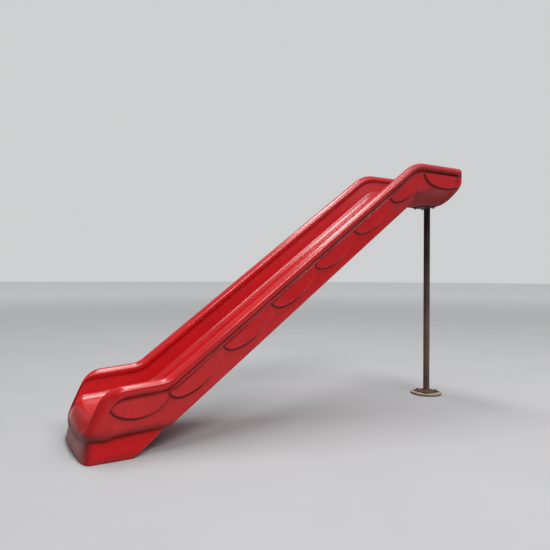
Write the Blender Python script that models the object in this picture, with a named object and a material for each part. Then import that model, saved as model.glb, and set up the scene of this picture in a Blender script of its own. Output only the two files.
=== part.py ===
"""Playground slide: a hollow moulded chute that stands on its own foot and on one steel post.

Metres, +Z up. X runs from the exit to the entry, Y across the slide. The model is laid out
with X = 0 in the foot's rounded front and is then hung on an empty that puts the origin under
the middle of the whole slide, on the ground.
"""
import bpy
import bmesh
import math
import numpy as np
from mathutils import Matrix, Vector

# Gaps between pieces
SEAT = 0.0003                    # gap left where one piece seats on or in another

# Run of the sliding bed, seen from the side
ENTRY_BED_Z = 1.568              # bed height of the level entry
SLOPE_ANGLE = math.radians(36.8)
EXIT_ANGLE = math.radians(4.5)
LOWER_BEND_X = 0.481             # where the exit run and the slope would meet
LOWER_BEND_Z = 0.2336
ENTRY_END_X = 2.655              # face that goes against the platform
LIP_X = 0.090                    # front lip of the bed
LOWER_BEND_R = 0.30
UPPER_BEND_R = 0.22
LIP_R = 0.055

# Cross-section of the chute
RAIL_HEIGHT = 0.158              # bed to rail crest
RAIL_R = 0.035                   # half the width of the rolled rail
RAIL_Y = 0.2765                  # centre of the rail from the middle of the slide
BED_HALF = 0.188                 # flat half of the bed
BED_FILLET = 0.047
CREASE_INSET = 0.0075            # rail overhang past the inner wall
GROOVE_DEPTH = 0.0155            # groove under the rail, from the rail's outer edge
GROOVE_DROP = 0.065              # groove below the crest
GROOVE_HALF = 0.012
SIDE_Y = 0.298                   # flat outer side
UNDER_DROP = 0.055               # underside below the bed on the slope
EDGE_R = 0.016                   # rounding of the lower outer edge on the slope
EXIT_EDGE_R = 0.030              # and over the undercut of the exit
WALL = 0.006                     # moulded wall
CREASE_DROP = 0.020              # top of the inner wall, below the rail's centre
ROLL_START = 66                  # first and last angle of the rail's outer half, degrees
ROLL_STOP = -32
CREASE_ANGLE = 196               # angle where the rail meets the inner wall
FILLET_LEAN = -6                 # angle where the bed fillet meets the inner wall
SIDE_REFERENCE = GROOVE_DROP + GROOVE_HALF + 0.050   # side height that needs no squeezing
EDGE_SHARE = 0.15                # most of the side's height that its lower rounding takes
EDGE_KNEE = 0.3                  # middle point of that rounding, as a share of it
UNDER_STEPS = 5

# Steps of each straight and arc along the run: underside of the nose, its curl, front, lip,
# exit, lower bend, slope, upper bend and entry
STEPS = (1, 3, 1, 5, 2, 6, 6, 7, 3)
CURL_STATIONS = sum(STEPS[:3])
FRONT_STATIONS = sum(STEPS[:4])
EXIT_STATIONS = sum(STEPS[:5])
CAVITY_FIRST = CURL_STATIONS + 3  # station of the lip where the hollow starts

# Front of the exit
UNDERCUT_Z = 0.100               # height of the undercut between chute and foot, at the front
UNDERCUT_BACK_X = 0.424          # where it meets the slope
NOSE_CURL_X = -0.001             # corner of the curl under the apron, before rounding
NOSE_CURL_Z = 0.112
NOSE_CURL_R = 0.026
NOSE_UNDER = 0.044               # how far the apron curls back under itself
NOSE_CREST_X = 0.125             # front corner of the rails
NOSE_CREST_R = 0.120
NOSE_BULGE = 0.052               # forward bulge of the apron between the rails
BULGE_POWER = 3.5                # roundness of the bulge in plan, 2 is a parabola
NOSE_TAPER = 0.045               # narrowing of the chute at the undercut, as a share

# Foot
FOOT_HALF = 0.284
FOOT_CORNER_R = 0.045
FOOT_FRONT_X = 0.008             # its front face at the corners
FOOT_BULGE = 0.024               # forward bulge of that face
FOOT_BACK_R = 0.060
FOOT_OVERLAP = 0.030             # how far the foot runs up into the chute at its back
FOOT_FRONT_OVERLAP = 0.005       # and at its front, under the apron
FOOT_HOLLOW_DROP = 4             # its hollow starts this many walls lower at the front

# Entry end
BELLY_DROP = 0.099               # underside of the entry, below the bed
BELLY_Z = ENTRY_BED_Z - BELLY_DROP
BELLY_R = 0.20
BELLY_FLAT = 0.085               # half of the flat along its middle
BELLY_POWER = 1.6                # 1 is a quarter ellipse from flat to side, more is slacker
SIDE_EDGE_END_RISE = 0.022       # lower edge of the side at the platform face, above the bed
SIDE_EDGE_LEAD = 0.0797          # that edge leaves the slope this far before the bed's upper bend
SIDE_EDGE_R = 0.15
FLANGE_LENGTH = 0.045
FLANGE_PROUD = 0.004
FLANGE_STEP = 0.04               # share of the flange taken by the step up to it

# Raised scallops on the outer side
SCALLOP_PITCH = 0.382
SCALLOP_START = -0.022           # first cusp, along the slope from the lower corner of the crest
SCALLOP_COUNT = 5
SCALLOP_DEPTH = 0.088
SCALLOP_PROUD = 0.007
SCALLOP_ROOT = 0.004             # how far a scallop is rooted in the wall
SCALLOP_TOP = 0.078              # upper edge of a scallop, below the crest
SCALLOP_GAP = 0.002              # between two neighbours
SCALLOP_STEPS = 10
HANG_STEPS = 6                   # along the line a scallop hangs from
LINE_STEPS = (20, 10, 120, 12, 30)   # fine steps of that line: exit, bend, slope, bend, entry
ENTRY_SCALLOP_DEPTH = 0.094
ENTRY_SCALLOP_SPAN = 0.440
EYE_DEPTH = 0.078                # scallop on the exit
EYE_FRONT_X = 0.112
EYE_FRONT_Z = 0.257

# Moulded-in threaded inserts, all one size
INSERT_R = 0.0075
INSERT_BORE_R = 0.0043
INSERT_LENGTH = 0.018
BOSS_R = 0.0145
BOSS_LENGTH = 0.026
INSERT_SIDES = 16

ENTRY_SIDE_INSERT_RISE = 0.069   # above the bed
ENTRY_BELLY_INSERT_Y = 0.120
ENTRY_BELLY_INSERT_RISE = 0.047
FOOT_INSERT_X = (0.070, 0.185)
FOOT_INSERT_Y = 0.200

# Vent of the moulding, with its plug
VENT_R = 0.010
VENT_RISE = 0.050                # vent above the belly
PLUG_HEAD_R = 0.015
PLUG_HEAD_T = 0.003
PLUG_LENGTH = 0.012
RECESS_T = 0.0035                # counterbore that takes the plug's head

# Support post
POST_SETBACK = 0.025             # its axis, back from the platform face
POST_X = ENTRY_END_X - POST_SETBACK
POST_R = 0.02415                 # 48.3 mm tube
POST_WALL = 0.0032
POST_SIDES = 28
HEAD_PLATE_X = 0.110
HEAD_PLATE_SET = 0.031           # plate set back from the post, clear of the platform face
HEAD_PLATE_Y = 0.150
HEAD_PLATE_T = 0.006
HEAD_BOLTS_X = 0.080
HEAD_BOLTS_Y = 0.112
BASE_PLATE_SIDE = 0.136
BASE_PLATE_T = 0.008
BASE_BOLTS = 0.098
PAD_R = 0.118
PAD_T = 0.016
PAD_CHAMFER = 0.003
PAD_SIDES = 40
PLATE_CORNER_R = 0.010

# Fasteners, all of M8 thread
BOLT_R = 0.004
HEX_FLATS = 0.013                # across flats, bolt heads and nuts
BOLT_HEAD_T = 0.0053
BOLT_GRIP = 0.015                # thread inside an insert
WASHER_R = 0.009
WASHER_T = 0.0016
LOCK_WASHER_R = 0.0068
LOCK_WASHER_T = 0.002
LOCK_WASHER_SPLIT = 0.002
HOLE_CLEARANCE = 0.0005
NUT_T = 0.0065
STUD_DEPTH = 0.011               # anchor stud in the footing pad
STUD_TIP = 0.004                 # thread standing above the nut
THREAD_SIDES = 16

POCKET_OUT = 0.002               # cutters start this far outside the surface
SMOOTH_ANGLE = math.radians(35)
FACE_TURN = Matrix.Rotation(-math.pi / 2, 4, 'Y')    # turns an axis from +Z to -X

# Colours, roughness and metallic value of each material
MATERIALS = {
    "red_polyethylene": ((0.50, 0.018, 0.018), 0.30, 0.0),
    "black_polyethylene": ((0.02, 0.02, 0.022), 0.50, 0.0),
    "brown_powder_coat": ((0.050, 0.032, 0.024), 0.45, 0.0),
    "zinc_steel": ((0.55, 0.56, 0.58), 0.35, 1.0),
    "brass": ((0.70, 0.52, 0.25), 0.35, 1.0),
    "sand_concrete": ((0.38, 0.30, 0.22), 0.90, 0.0),
}


def clear_scene():
    for old in list(bpy.data.objects):
        bpy.data.objects.remove(old, do_unlink=True)


def material(name):
    found = bpy.data.materials.get(name)
    if found:
        return found
    colour, roughness, metallic = MATERIALS[name]
    made = bpy.data.materials.new(name)
    made.use_nodes = True
    shader = made.node_tree.nodes["Principled BSDF"]
    shader.inputs["Base Color"].default_value = (*colour, 1.0)
    shader.inputs["Roughness"].default_value = roughness
    shader.inputs["Metallic"].default_value = metallic
    made.diffuse_color = (*colour, 1.0)
    return made


def add_object(name, mesh, material_name, parent):
    made = bpy.data.objects.new(name, mesh)
    bpy.context.collection.objects.link(made)
    made.data.materials.clear()
    made.data.materials.append(material(material_name))
    made.parent = parent
    return made


def mesh_from(name, points, faces):
    mesh = bpy.data.meshes.new(name)
    mesh.from_pydata([tuple(p) for p in points], [], faces)
    mesh.validate()
    bm = bmesh.new()
    bm.from_mesh(mesh)
    bmesh.ops.recalc_face_normals(bm, faces=bm.faces)
    bm.to_mesh(mesh)
    bm.free()
    return mesh


# Side view: paths made of straights joined by arcs

def direction(angle):
    return np.array([math.cos(angle), math.sin(angle)])


def left_normal(angle):
    return np.array([-math.sin(angle), math.cos(angle)])


def rounded_path(corners, radii, counts):
    """Points of a polyline with its inner corners rounded.

    counts holds the number of steps of each straight and each arc in turn, so paths with the
    same counts have matching points.
    """
    corners = [np.asarray(c, float) for c in corners]
    points = [corners[0]]
    for k, radius in enumerate(radii):
        before = corners[k + 1] - corners[k]
        after = corners[k + 2] - corners[k + 1]
        before = before / np.linalg.norm(before)
        after = after / np.linalg.norm(after)
        turn = math.atan2(before[0] * after[1] - before[1] * after[0], float(before @ after))
        side = math.copysign(1.0, turn)
        start = corners[k + 1] - before * radius * math.tan(abs(turn) / 2)
        centre = start + side * radius * np.array([-before[1], before[0]])
        points += list(straight(points[-1], start, counts[2 * k]))
        spoke = start - centre
        steps = counts[2 * k + 1]
        for j in range(1, steps + 1):
            a = turn * j / steps
            turned = np.array([spoke[0] * math.cos(a) - spoke[1] * math.sin(a),
                               spoke[0] * math.sin(a) + spoke[1] * math.cos(a)])
            points.append(centre + turned)
    points += list(straight(points[-1], corners[-1], counts[-1]))
    return np.array(points)


def straight(a, b, steps):
    for j in range(1, steps + 1):
        yield a + (b - a) * j / steps


def meet(point_a, angle_a, point_b, angle_b):
    """Where two lines in the side view cross."""
    da, db = direction(angle_a), direction(angle_b)
    gap = np.asarray(point_b, float) - np.asarray(point_a, float)
    run = (gap[0] * db[1] - gap[1] * db[0]) / (da[0] * db[1] - da[1] * db[0])
    return np.asarray(point_a, float) + da * run


LOWER_CORNER = np.array([LOWER_BEND_X, LOWER_BEND_Z])
UPPER_CORNER = meet(LOWER_CORNER, SLOPE_ANGLE, (0.0, ENTRY_BED_Z), 0.0)


def offset_lines(rise):
    """A point on the exit run, the slope and the entry, moved square to each by rise."""
    exit_point = LOWER_CORNER + left_normal(EXIT_ANGLE) * rise
    slope_point = LOWER_CORNER + left_normal(SLOPE_ANGLE) * rise
    entry_point = UPPER_CORNER + left_normal(0.0) * rise
    return exit_point, slope_point, entry_point


def lower_corner(rise):
    exit_point, slope_point, _ = offset_lines(rise)
    return meet(exit_point, EXIT_ANGLE, slope_point, SLOPE_ANGLE)


def upper_corner(rise):
    _, slope_point, entry_point = offset_lines(rise)
    return meet(slope_point, SLOPE_ANGLE, entry_point, 0.0)


def slope_height(x, rise):
    """Height of the slope's line, moved square by rise, at x."""
    on_line = LOWER_CORNER + left_normal(SLOPE_ANGLE) * rise
    return on_line[1] + (x - on_line[0]) * math.tan(SLOPE_ANGLE)


def guides():
    """The four lines that carry the cross-section: bed, crest, side edge and belly."""
    end = ENTRY_END_X - FLANGE_LENGTH
    under_x = NOSE_CURL_X + NOSE_UNDER
    lip = LOWER_CORNER - direction(EXIT_ANGLE) * (LOWER_BEND_X - LIP_X) / math.cos(EXIT_ANGLE)
    bed = rounded_path(
        [(under_x, UNDERCUT_Z), (NOSE_CURL_X, NOSE_CURL_Z), lip, LOWER_CORNER, UPPER_CORNER,
         (end, ENTRY_BED_Z)],
        [NOSE_CURL_R, LIP_R, LOWER_BEND_R, UPPER_BEND_R], STEPS)
    crest_low = lower_corner(RAIL_HEIGHT)
    back = crest_low[0] - NOSE_CREST_X
    nose = crest_low - direction(EXIT_ANGLE) * back / math.cos(EXIT_ANGLE)
    crest = rounded_path(
        [(under_x, UNDERCUT_Z), (NOSE_CURL_X, NOSE_CURL_Z), nose, crest_low,
         upper_corner(RAIL_HEIGHT), (end, ENTRY_BED_Z + RAIL_HEIGHT)],
        [NOSE_CURL_R, NOSE_CREST_R, LOWER_BEND_R - RAIL_HEIGHT, UPPER_BEND_R + RAIL_HEIGHT], STEPS)
    turn_x = UPPER_CORNER[0] - SIDE_EDGE_LEAD
    turn_z = slope_height(turn_x, -UNDER_DROP)
    edge_rise = (ENTRY_BED_Z + SIDE_EDGE_END_RISE - turn_z) / (ENTRY_END_X - turn_x)
    edge_tail = (end, turn_z + edge_rise * (end - turn_x))
    edge = lower_guide(edge_tail, (turn_x, turn_z), SIDE_EDGE_R, under_x + NOSE_CURL_R / 2)
    belly_turn = meet((turn_x, turn_z), SLOPE_ANGLE, (0.0, BELLY_Z), 0.0)
    belly = lower_guide((end, BELLY_Z), belly_turn, BELLY_R, under_x + NOSE_CURL_R)
    return bed, crest, edge, belly


def undercut_height(x):
    """Height of the undercut's line, which climbs from the front to the slope's underside."""
    rise = slope_height(UNDERCUT_BACK_X, -UNDER_DROP) - UNDERCUT_Z
    return UNDERCUT_Z + rise * max(0.0, x) / UNDERCUT_BACK_X


def lower_guide(tail, turn, radius, front_x):
    """A line along the bottom of the chute, from the undercut at the front to the entry."""
    back = (UNDERCUT_BACK_X, undercut_height(UNDERCUT_BACK_X))
    path = rounded_path([(front_x, undercut_height(front_x)), back, turn, tail],
                        [LOWER_BEND_R / 2, radius], STEPS[4:])
    step = (path[1][0] - front_x) / (FRONT_STATIONS + 1)
    lead_x = [front_x + step * j for j in range(FRONT_STATIONS + 1)]
    lead = [(front_x, UNDERCUT_Z)] + [(x, undercut_height(x)) for x in lead_x[1:]]
    return np.vstack([np.array(lead), path[1:]])


def arc(centre, radius, start, stop, steps):
    """Points of an arc in the cross-section, angles in degrees from the outward side."""
    return [(centre[0] + radius * math.cos(math.radians(start + (stop - start) * j / steps)),
             centre[1] + radius * math.sin(math.radians(start + (stop - start) * j / steps)))
            for j in range(steps + 1)]


def inner_profile():
    """Half section from the middle of the bed to the crest: distance out, height over the bed."""
    roll_centre = (RAIL_Y, RAIL_HEIGHT - RAIL_R)
    crease_y = RAIL_Y - RAIL_R + CREASE_INSET
    fillet = arc((BED_HALF, BED_FILLET), BED_FILLET, -90, FILLET_LEAN, 4)
    roll = arc(roll_centre, RAIL_R, CREASE_ANGLE, 90, 5)
    crease = [(crease_y, roll_centre[1] - CREASE_DROP)]
    return [(0.0, 0.0), (BED_HALF / 2, 0.0)] + fillet + crease + roll


def outer_profile():
    """Half section from the crest down to the groove and the flat side: distance out, drop."""
    roll = [(y, RAIL_R - z) for y, z in arc((RAIL_Y, 0.0), RAIL_R, ROLL_START, ROLL_STOP, 4)]
    groove_y = RAIL_Y + RAIL_R - GROOVE_DEPTH
    return roll + [(groove_y, GROOVE_DROP), (SIDE_Y, GROOVE_DROP + GROOVE_HALF)]


def spread(profile, reach):
    """Distances out that rise evenly along a profile, up to reach."""
    points = np.array(profile)
    run = np.concatenate([[0.0], np.cumsum(np.linalg.norm(np.diff(points, axis=0), axis=1))])
    return run / run[-1] * reach


INNER = inner_profile()
INNER_SPREAD = spread(INNER, RAIL_Y)
OUTER = outer_profile()


def half_ring(bed, crest, edge, belly, width, proud, edge_r):
    """Points of one half cross-section, from the middle of the bed round to the belly."""
    up = (crest - bed) / RAIL_HEIGHT
    full = min(1.0, np.linalg.norm(up))
    down = edge - crest
    reach = np.linalg.norm(down)
    shrink = min(1.0, reach / SIDE_REFERENCE)
    down = down / reach
    points = []
    for (y, rise), even in zip(INNER, INNER_SPREAD):
        points.append(((even + (y - even) * full) * width, bed + up * rise))
    for y, drop in OUTER:
        points.append(((y + proud) * width, crest + down * drop * shrink))
    side_y = (SIDE_Y + proud) * width
    rounding = min(edge_r, reach * EDGE_SHARE)
    points.append((side_y, edge - down * rounding))
    points.append((side_y - rounding * EDGE_KNEE, edge - down * rounding * EDGE_KNEE))
    under_y = side_y - rounding
    for k in range(UNDER_STEPS + 1):
        a = 0.5 * math.pi * k / UNDER_STEPS
        y = BELLY_FLAT + (under_y - BELLY_FLAT) * math.cos(a)
        points.append((y, edge + (belly - edge) * math.sin(a) ** BELLY_POWER))
    points.append((0.0, belly))
    return points


def stations():
    """Every cross-section of the outer skin, as rows of half-section points."""
    bed, crest, edge, belly = guides()
    rows = []
    for k in range(len(bed)):
        front = max(0.0, 1.0 - k / FRONT_STATIONS)
        width = 1.0 - NOSE_TAPER * front ** 2
        edge_r = EXIT_EDGE_R if k <= EXIT_STATIONS else EDGE_R
        rows.append(half_ring(bed[k], crest[k], edge[k], belly[k], width, 0.0, edge_r))
    last = [bed[-1], crest[-1], edge[-1], belly[-1]]
    tail = [p.copy() for p in last]
    for p in tail:
        p[0] = ENTRY_END_X
    tail[2][1] = ENTRY_BED_Z + SIDE_EDGE_END_RISE
    step = [p + (t - p) * FLANGE_STEP for p, t in zip(last, tail)]
    rows.append(half_ring(*step, 1.0, FLANGE_PROUD, EDGE_R))
    rows.append(half_ring(*tail, 1.0, FLANGE_PROUD, EDGE_R))
    return rows


def bulged(y, x, station):
    """The apron stands forward between the rails, fading out over the lip."""
    over = (station - CURL_STATIONS) / (FRONT_STATIONS - CURL_STATIONS)
    front = 0.5 + 0.5 * math.cos(math.pi * min(1.0, max(0.0, over)))
    return x - NOSE_BULGE * front * max(0.0, 1.0 - abs(y / RAIL_Y) ** BULGE_POWER)


def skin_points(rows):
    """Full rings, left half mirrored on to the right."""
    rings = []
    for k, row in enumerate(rows):
        half = [(bulged(y, p[0], k), y, p[1]) for y, p in row]
        other = [(x, -y, z) for x, y, z in half[-2:0:-1]]
        rings.append(half + other)
    return np.array(rings)


def folded_cap(ring):
    """Triangles that close a ring lying in no single plane, laddered from its inner to its outer side."""
    around = len(ring)
    inner, outer = 0, around // 2
    faces = []
    while outer - inner > 1:
        step_inner = np.linalg.norm(ring[inner + 1] - ring[outer])
        if step_inner < np.linalg.norm(ring[inner] - ring[outer - 1]):
            corners = (inner, inner + 1, outer)
            inner += 1
        else:
            corners = (inner, outer - 1, outer)
            outer -= 1
        faces.append(corners)
        faces.append(tuple((around - j) % around for j in corners))
    return faces


def loft(name, rings, folded_front=False):
    """Closed skin over rings of equal length, with a cap at each end."""
    count, around = rings.shape[:2]
    faces = folded_cap(rings[0]) if folded_front else [tuple(range(around))]
    for k in range(count - 1):
        for j in range(around):
            n = (j + 1) % around
            faces.append((k * around + j, k * around + n, (k + 1) * around + n, (k + 1) * around + j))
    faces.append(tuple((count - 1) * around + j for j in reversed(range(around))))
    return mesh_from(name, rings.reshape(-1, 3), faces)


def prism(name, outline, y_low, y_high):
    """A side-view outline carried across from y_low to y_high."""
    count = len(outline)
    points = [(p[0], y_low, p[1]) for p in outline] + [(p[0], y_high, p[1]) for p in outline]
    faces = [tuple(range(count)), tuple(range(2 * count - 1, count - 1, -1))]
    faces += [(j, (j + 1) % count, (j + 1) % count + count, j + count) for j in range(count)]
    return mesh_from(name, points, faces)


def round_bar(name, radius, length, sides, bore=0.0):
    """Bar or tube along +Z from the origin."""
    bm = bmesh.new()
    outer_low = [bm.verts.new((radius * math.cos(a), radius * math.sin(a), 0.0))
                 for a in (2 * math.pi * j / sides for j in range(sides))]
    outer_high = [bm.verts.new((v.co.x, v.co.y, length)) for v in outer_low]
    rings = [(outer_low, outer_high, False)]
    if bore:
        inner_low = [bm.verts.new((v.co.x * bore / radius, v.co.y * bore / radius, 0.0))
                     for v in outer_low]
        inner_high = [bm.verts.new((v.co.x, v.co.y, length)) for v in inner_low]
        rings.append((inner_low, inner_high, True))
    for low, high, inward in rings:
        for j in range(sides):
            n = (j + 1) % sides
            face = (low[j], low[n], high[n], high[j])
            bm.faces.new(tuple(reversed(face)) if inward else face)
    if bore:
        for j in range(sides):
            n = (j + 1) % sides
            bm.faces.new((outer_high[j], outer_high[n], inner_high[n], inner_high[j]))
            bm.faces.new((outer_low[n], outer_low[j], inner_low[j], inner_low[n]))
    else:
        bm.faces.new(outer_high)
        bm.faces.new(tuple(reversed(outer_low)))
    mesh = bpy.data.meshes.new(name)
    bm.to_mesh(mesh)
    bm.free()
    return mesh


def joined(name, parts):
    """One mesh from (mesh, matrix) pairs, each a body of its own."""
    bm = bmesh.new()
    for mesh, matrix in parts:
        copy = mesh.copy()
        copy.transform(matrix)
        bm.from_mesh(copy)
        bpy.data.meshes.remove(copy)
    made = bpy.data.meshes.new(name)
    bm.to_mesh(made)
    bm.free()
    return made


def boolean(base, tool, operation):
    """Result of an exact Boolean of two meshes."""
    holder = bpy.data.objects.new("boolean_base", base)
    cutter = bpy.data.objects.new("boolean_tool", tool)
    for item in (holder, cutter):
        bpy.context.collection.objects.link(item)
    step = holder.modifiers.new("cut", 'BOOLEAN')
    step.operation = operation
    step.solver = 'EXACT'
    step.object = cutter
    bpy.context.view_layer.update()
    graph = bpy.context.evaluated_depsgraph_get()
    made = bpy.data.meshes.new_from_object(holder.evaluated_get(graph))
    for item in (holder, cutter):
        bpy.data.objects.remove(item, do_unlink=True)
    return made


def shift(x, y, z):
    return Matrix.Translation(Vector((x, y, z)))


def four_places(x, half_x, half_y, z):
    return [(x + sx * half_x, sy * half_y, z) for sx in (-1, 1) for sy in (-1, 1)]


# Places of the inserts: the mouth of each, its axis pointing into the moulding

def belly_places():
    middle = POST_X - HEAD_PLATE_SET
    return [shift(*p) for p in four_places(middle, HEAD_BOLTS_X / 2, HEAD_BOLTS_Y / 2, BELLY_Z)]


def foot_places():
    return [shift(x, y, 0.0) for x in FOOT_INSERT_X for y in (-FOOT_INSERT_Y, FOOT_INSERT_Y)]


def entry_places():
    low, high = BELLY_Z + ENTRY_BELLY_INSERT_RISE, ENTRY_BED_Z + ENTRY_SIDE_INSERT_RISE
    spots = [(RAIL_Y, high), (-RAIL_Y, high), (ENTRY_BELLY_INSERT_Y, low), (-ENTRY_BELLY_INSERT_Y, low)]
    return [shift(ENTRY_END_X, y, z) @ FACE_TURN for y, z in spots]


def vent_place():
    return shift(ENTRY_END_X, 0.0, BELLY_Z + VENT_RISE) @ FACE_TURN


def into(depth):
    """Move along an insert's own axis, into the moulding."""
    return shift(0.0, 0.0, depth)


def foot_solid(name, inset):
    """The foot under the exit, inset by a wall where it is the hollow."""
    rise = inset - UNDER_DROP
    heel_x = LOWER_BEND_X + (0.0 - slope_height(LOWER_BEND_X, -UNDER_DROP)) / math.tan(SLOPE_ANGLE)
    heel_x += -inset / math.sin(SLOPE_ANGLE) + inset / math.tan(SLOPE_ANGLE)
    top_x = UNDERCUT_BACK_X
    top_z = slope_height(top_x, rise)
    front_x = FOOT_FRONT_X + inset
    ahead = front_x - FOOT_BULGE - FOOT_CORNER_R
    outline = rounded_path([(ahead, inset), (heel_x, inset), (top_x, top_z)],
                           [FOOT_BACK_R], (1, 4, 1))
    front_z = UNDERCUT_Z + FOOT_FRONT_OVERLAP - FOOT_HOLLOW_DROP * inset
    outline = list(outline) + [(top_x, undercut_height(top_x) + FOOT_OVERLAP), (ahead, front_z)]
    reach = FOOT_HALF * 2
    side = prism(name + "_side", outline, -reach, reach)
    half = FOOT_HALF - inset
    corner = FOOT_CORNER_R - inset
    plan = rounded_path([(reach, -half), (front_x, -half), (front_x, half), (reach, half)],
                        [corner, corner], (1, 4, 8, 4, 1))
    fade = 1.0 - (plan[:, 1] / FOOT_HALF) ** 2
    plan[:, 0] -= np.where(plan[:, 0] < top_x, FOOT_BULGE * fade, 0.0)
    low, high = -FOOT_OVERLAP, undercut_height(top_x) + 2 * FOOT_OVERLAP
    count = len(plan)
    points = [(x, y, low) for x, y in plan] + [(x, y, high) for x, y in plan]
    faces = [tuple(range(count)), tuple(range(2 * count - 1, count - 1, -1))]
    faces += [(j, (j + 1) % count, (j + 1) % count + count, j + count) for j in range(count)]
    return boolean(side, mesh_from(name + "_plan", points, faces), 'INTERSECT')


def cavity_rings(rows):
    """Rings of the hollow: the outer rings moved inwards by the wall, square to the run."""
    skin = skin_points(rows)
    rings = np.concatenate([skin[CAVITY_FIRST:-2], skin[-1:]])
    rings[-1, :, 0] -= WALL
    middle = rings[:, 0]
    run = np.gradient(middle, axis=0)
    run = run / np.linalg.norm(run, axis=1)[:, None]
    along = np.roll(rings, -1, axis=1) - np.roll(rings, 1, axis=1)
    along = along / np.linalg.norm(along, axis=2)[..., None]
    outward = np.cross(run[:, None, :], along)
    return rings - outward * WALL


def scallop_line(drop):
    """Dense side-view line under the rail, with the distance along it from the lower corner."""
    end = (ENTRY_END_X + ENTRY_SCALLOP_SPAN, ENTRY_BED_Z + RAIL_HEIGHT - drop)
    low, high = lower_corner(RAIL_HEIGHT - drop), upper_corner(RAIL_HEIGHT - drop)
    start = low - direction(EXIT_ANGLE) * (low[0] - EYE_FRONT_X) / math.cos(EXIT_ANGLE)
    path = rounded_path([start, low, high, end],
                        [LOWER_BEND_R - RAIL_HEIGHT + drop, UPPER_BEND_R + RAIL_HEIGHT - drop],
                        LINE_STEPS)
    run = np.concatenate([[0.0], np.cumsum(np.linalg.norm(np.diff(path, axis=0), axis=1))])
    corner_run = run[int(np.argmin(np.linalg.norm(path - low, axis=1)))]
    return path, run - corner_run


def on_line(path, run, where):
    return np.array([np.interp(where, run, path[:, 0]), np.interp(where, run, path[:, 1])])


def hanging_arc(left, right, depth, steps):
    """Circular arc that hangs below the chord from right to left."""
    chord = right - left
    length = np.linalg.norm(chord)
    unit = chord / length
    down = np.array([unit[1], -unit[0]])
    radius = (length ** 2 / 4 + depth ** 2) / (2 * depth)
    centre = (left + right) / 2 + down * (depth - radius)
    half = math.asin(min(1.0, length / (2 * radius)))
    return [centre + radius * (unit * math.sin(a) + down * math.cos(a))
            for a in (half - 2 * half * j / steps for j in range(steps + 1))]


def scallop_outlines():
    path, run = scallop_line(SCALLOP_TOP)
    outlines = []
    for k in range(SCALLOP_COUNT + 1):
        first = SCALLOP_START + SCALLOP_PITCH * k + SCALLOP_GAP / 2
        last = first + SCALLOP_PITCH - SCALLOP_GAP
        outlines.append(hung(path, run, first, last, SCALLOP_DEPTH))
    first = SCALLOP_START + SCALLOP_PITCH * (SCALLOP_COUNT + 1) + SCALLOP_GAP / 2
    entry = hung(path, run, first, first + ENTRY_SCALLOP_SPAN, ENTRY_SCALLOP_DEPTH)
    outlines.append(clipped(entry, ENTRY_END_X - FLANGE_LENGTH / 2))
    cusp = on_line(path, run, SCALLOP_START - SCALLOP_GAP / 2)
    front = np.array([EYE_FRONT_X, EYE_FRONT_Z])
    lower = hanging_arc(front, cusp, EYE_DEPTH, SCALLOP_STEPS)
    upper = [on_line(path, run, w) for w in np.linspace(run[0] + RAIL_R, SCALLOP_START, HANG_STEPS)[:-1]]
    outlines.append(lower + upper)
    return outlines


def hung(path, run, first, last, depth):
    """Outline of one scallop: the line it hangs from, then the arc back to its start."""
    upper = [on_line(path, run, w) for w in np.linspace(first, last, HANG_STEPS)]
    return upper[:-1] + hanging_arc(upper[0], upper[-1], depth, SCALLOP_STEPS)[:-1]


def clipped(outline, limit):
    """The part of an outline on the exit side of x = limit."""
    kept = []
    for j, here in enumerate(outline):
        there = outline[(j + 1) % len(outline)]
        if here[0] <= limit:
            kept.append(here)
        if (here[0] <= limit) != (there[0] <= limit):
            share = (limit - here[0]) / (there[0] - here[0])
            kept.append(here + (there - here) * share)
    return kept


def scallop_solids():
    parts = []
    low, high = SIDE_Y - SCALLOP_ROOT, SIDE_Y + SCALLOP_PROUD
    for k, outline in enumerate(scallop_outlines()):
        parts.append((prism(f"scallop_{k}_far", outline, low, high), Matrix()))
        parts.append((prism(f"scallop_{k}_near", outline, -high, -low), Matrix()))
    return joined("scallops", parts)


def chute_mesh():
    """The moulding: outer skin, foot and scallops, less the hollow and the insert pockets."""
    rows = stations()
    skin = loft("skin", skin_points(rows))
    skin = boolean(skin, foot_solid("foot", 0.0), 'UNION')
    skin = boolean(skin, scallop_solids(), 'UNION')
    hollow = loft("hollow", cavity_rings(rows), folded_front=True)
    hollow = boolean(hollow, foot_solid("foot_hollow", WALL), 'UNION')
    vent = round_bar("vent", VENT_R + SEAT, 4 * WALL, INSERT_SIDES)
    vent.transform(vent_place() @ into(-WALL))
    hollow = boolean(hollow, vent, 'UNION')
    mouths = belly_places() + foot_places() + entry_places()
    boss = round_bar("boss", BOSS_R, BOSS_LENGTH, INSERT_SIDES)
    hollow = boolean(hollow, joined("bosses", [(boss, m) for m in mouths]), 'DIFFERENCE')
    skin = boolean(skin, hollow, 'DIFFERENCE')
    pocket = round_bar("pocket", INSERT_R + SEAT, INSERT_LENGTH + 2 * SEAT + POCKET_OUT, INSERT_SIDES)
    cuts = [(pocket, m @ into(-POCKET_OUT)) for m in mouths]
    recess = round_bar("recess", PLUG_HEAD_R + SEAT, RECESS_T + POCKET_OUT, INSERT_SIDES)
    cuts.append((recess, vent_place() @ into(-POCKET_OUT)))
    return boolean(skin, joined("pockets", cuts), 'DIFFERENCE')


def plug_mesh():
    head = round_bar("plug_head", PLUG_HEAD_R, PLUG_HEAD_T, INSERT_SIDES)
    shank = round_bar("plug_shank", VENT_R, PLUG_LENGTH, INSERT_SIDES)
    seated = vent_place() @ into(RECESS_T - PLUG_HEAD_T - SEAT)
    head.transform(seated)
    shank.transform(seated @ into(PLUG_HEAD_T / 2))
    return boolean(head, shank, 'UNION')


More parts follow.
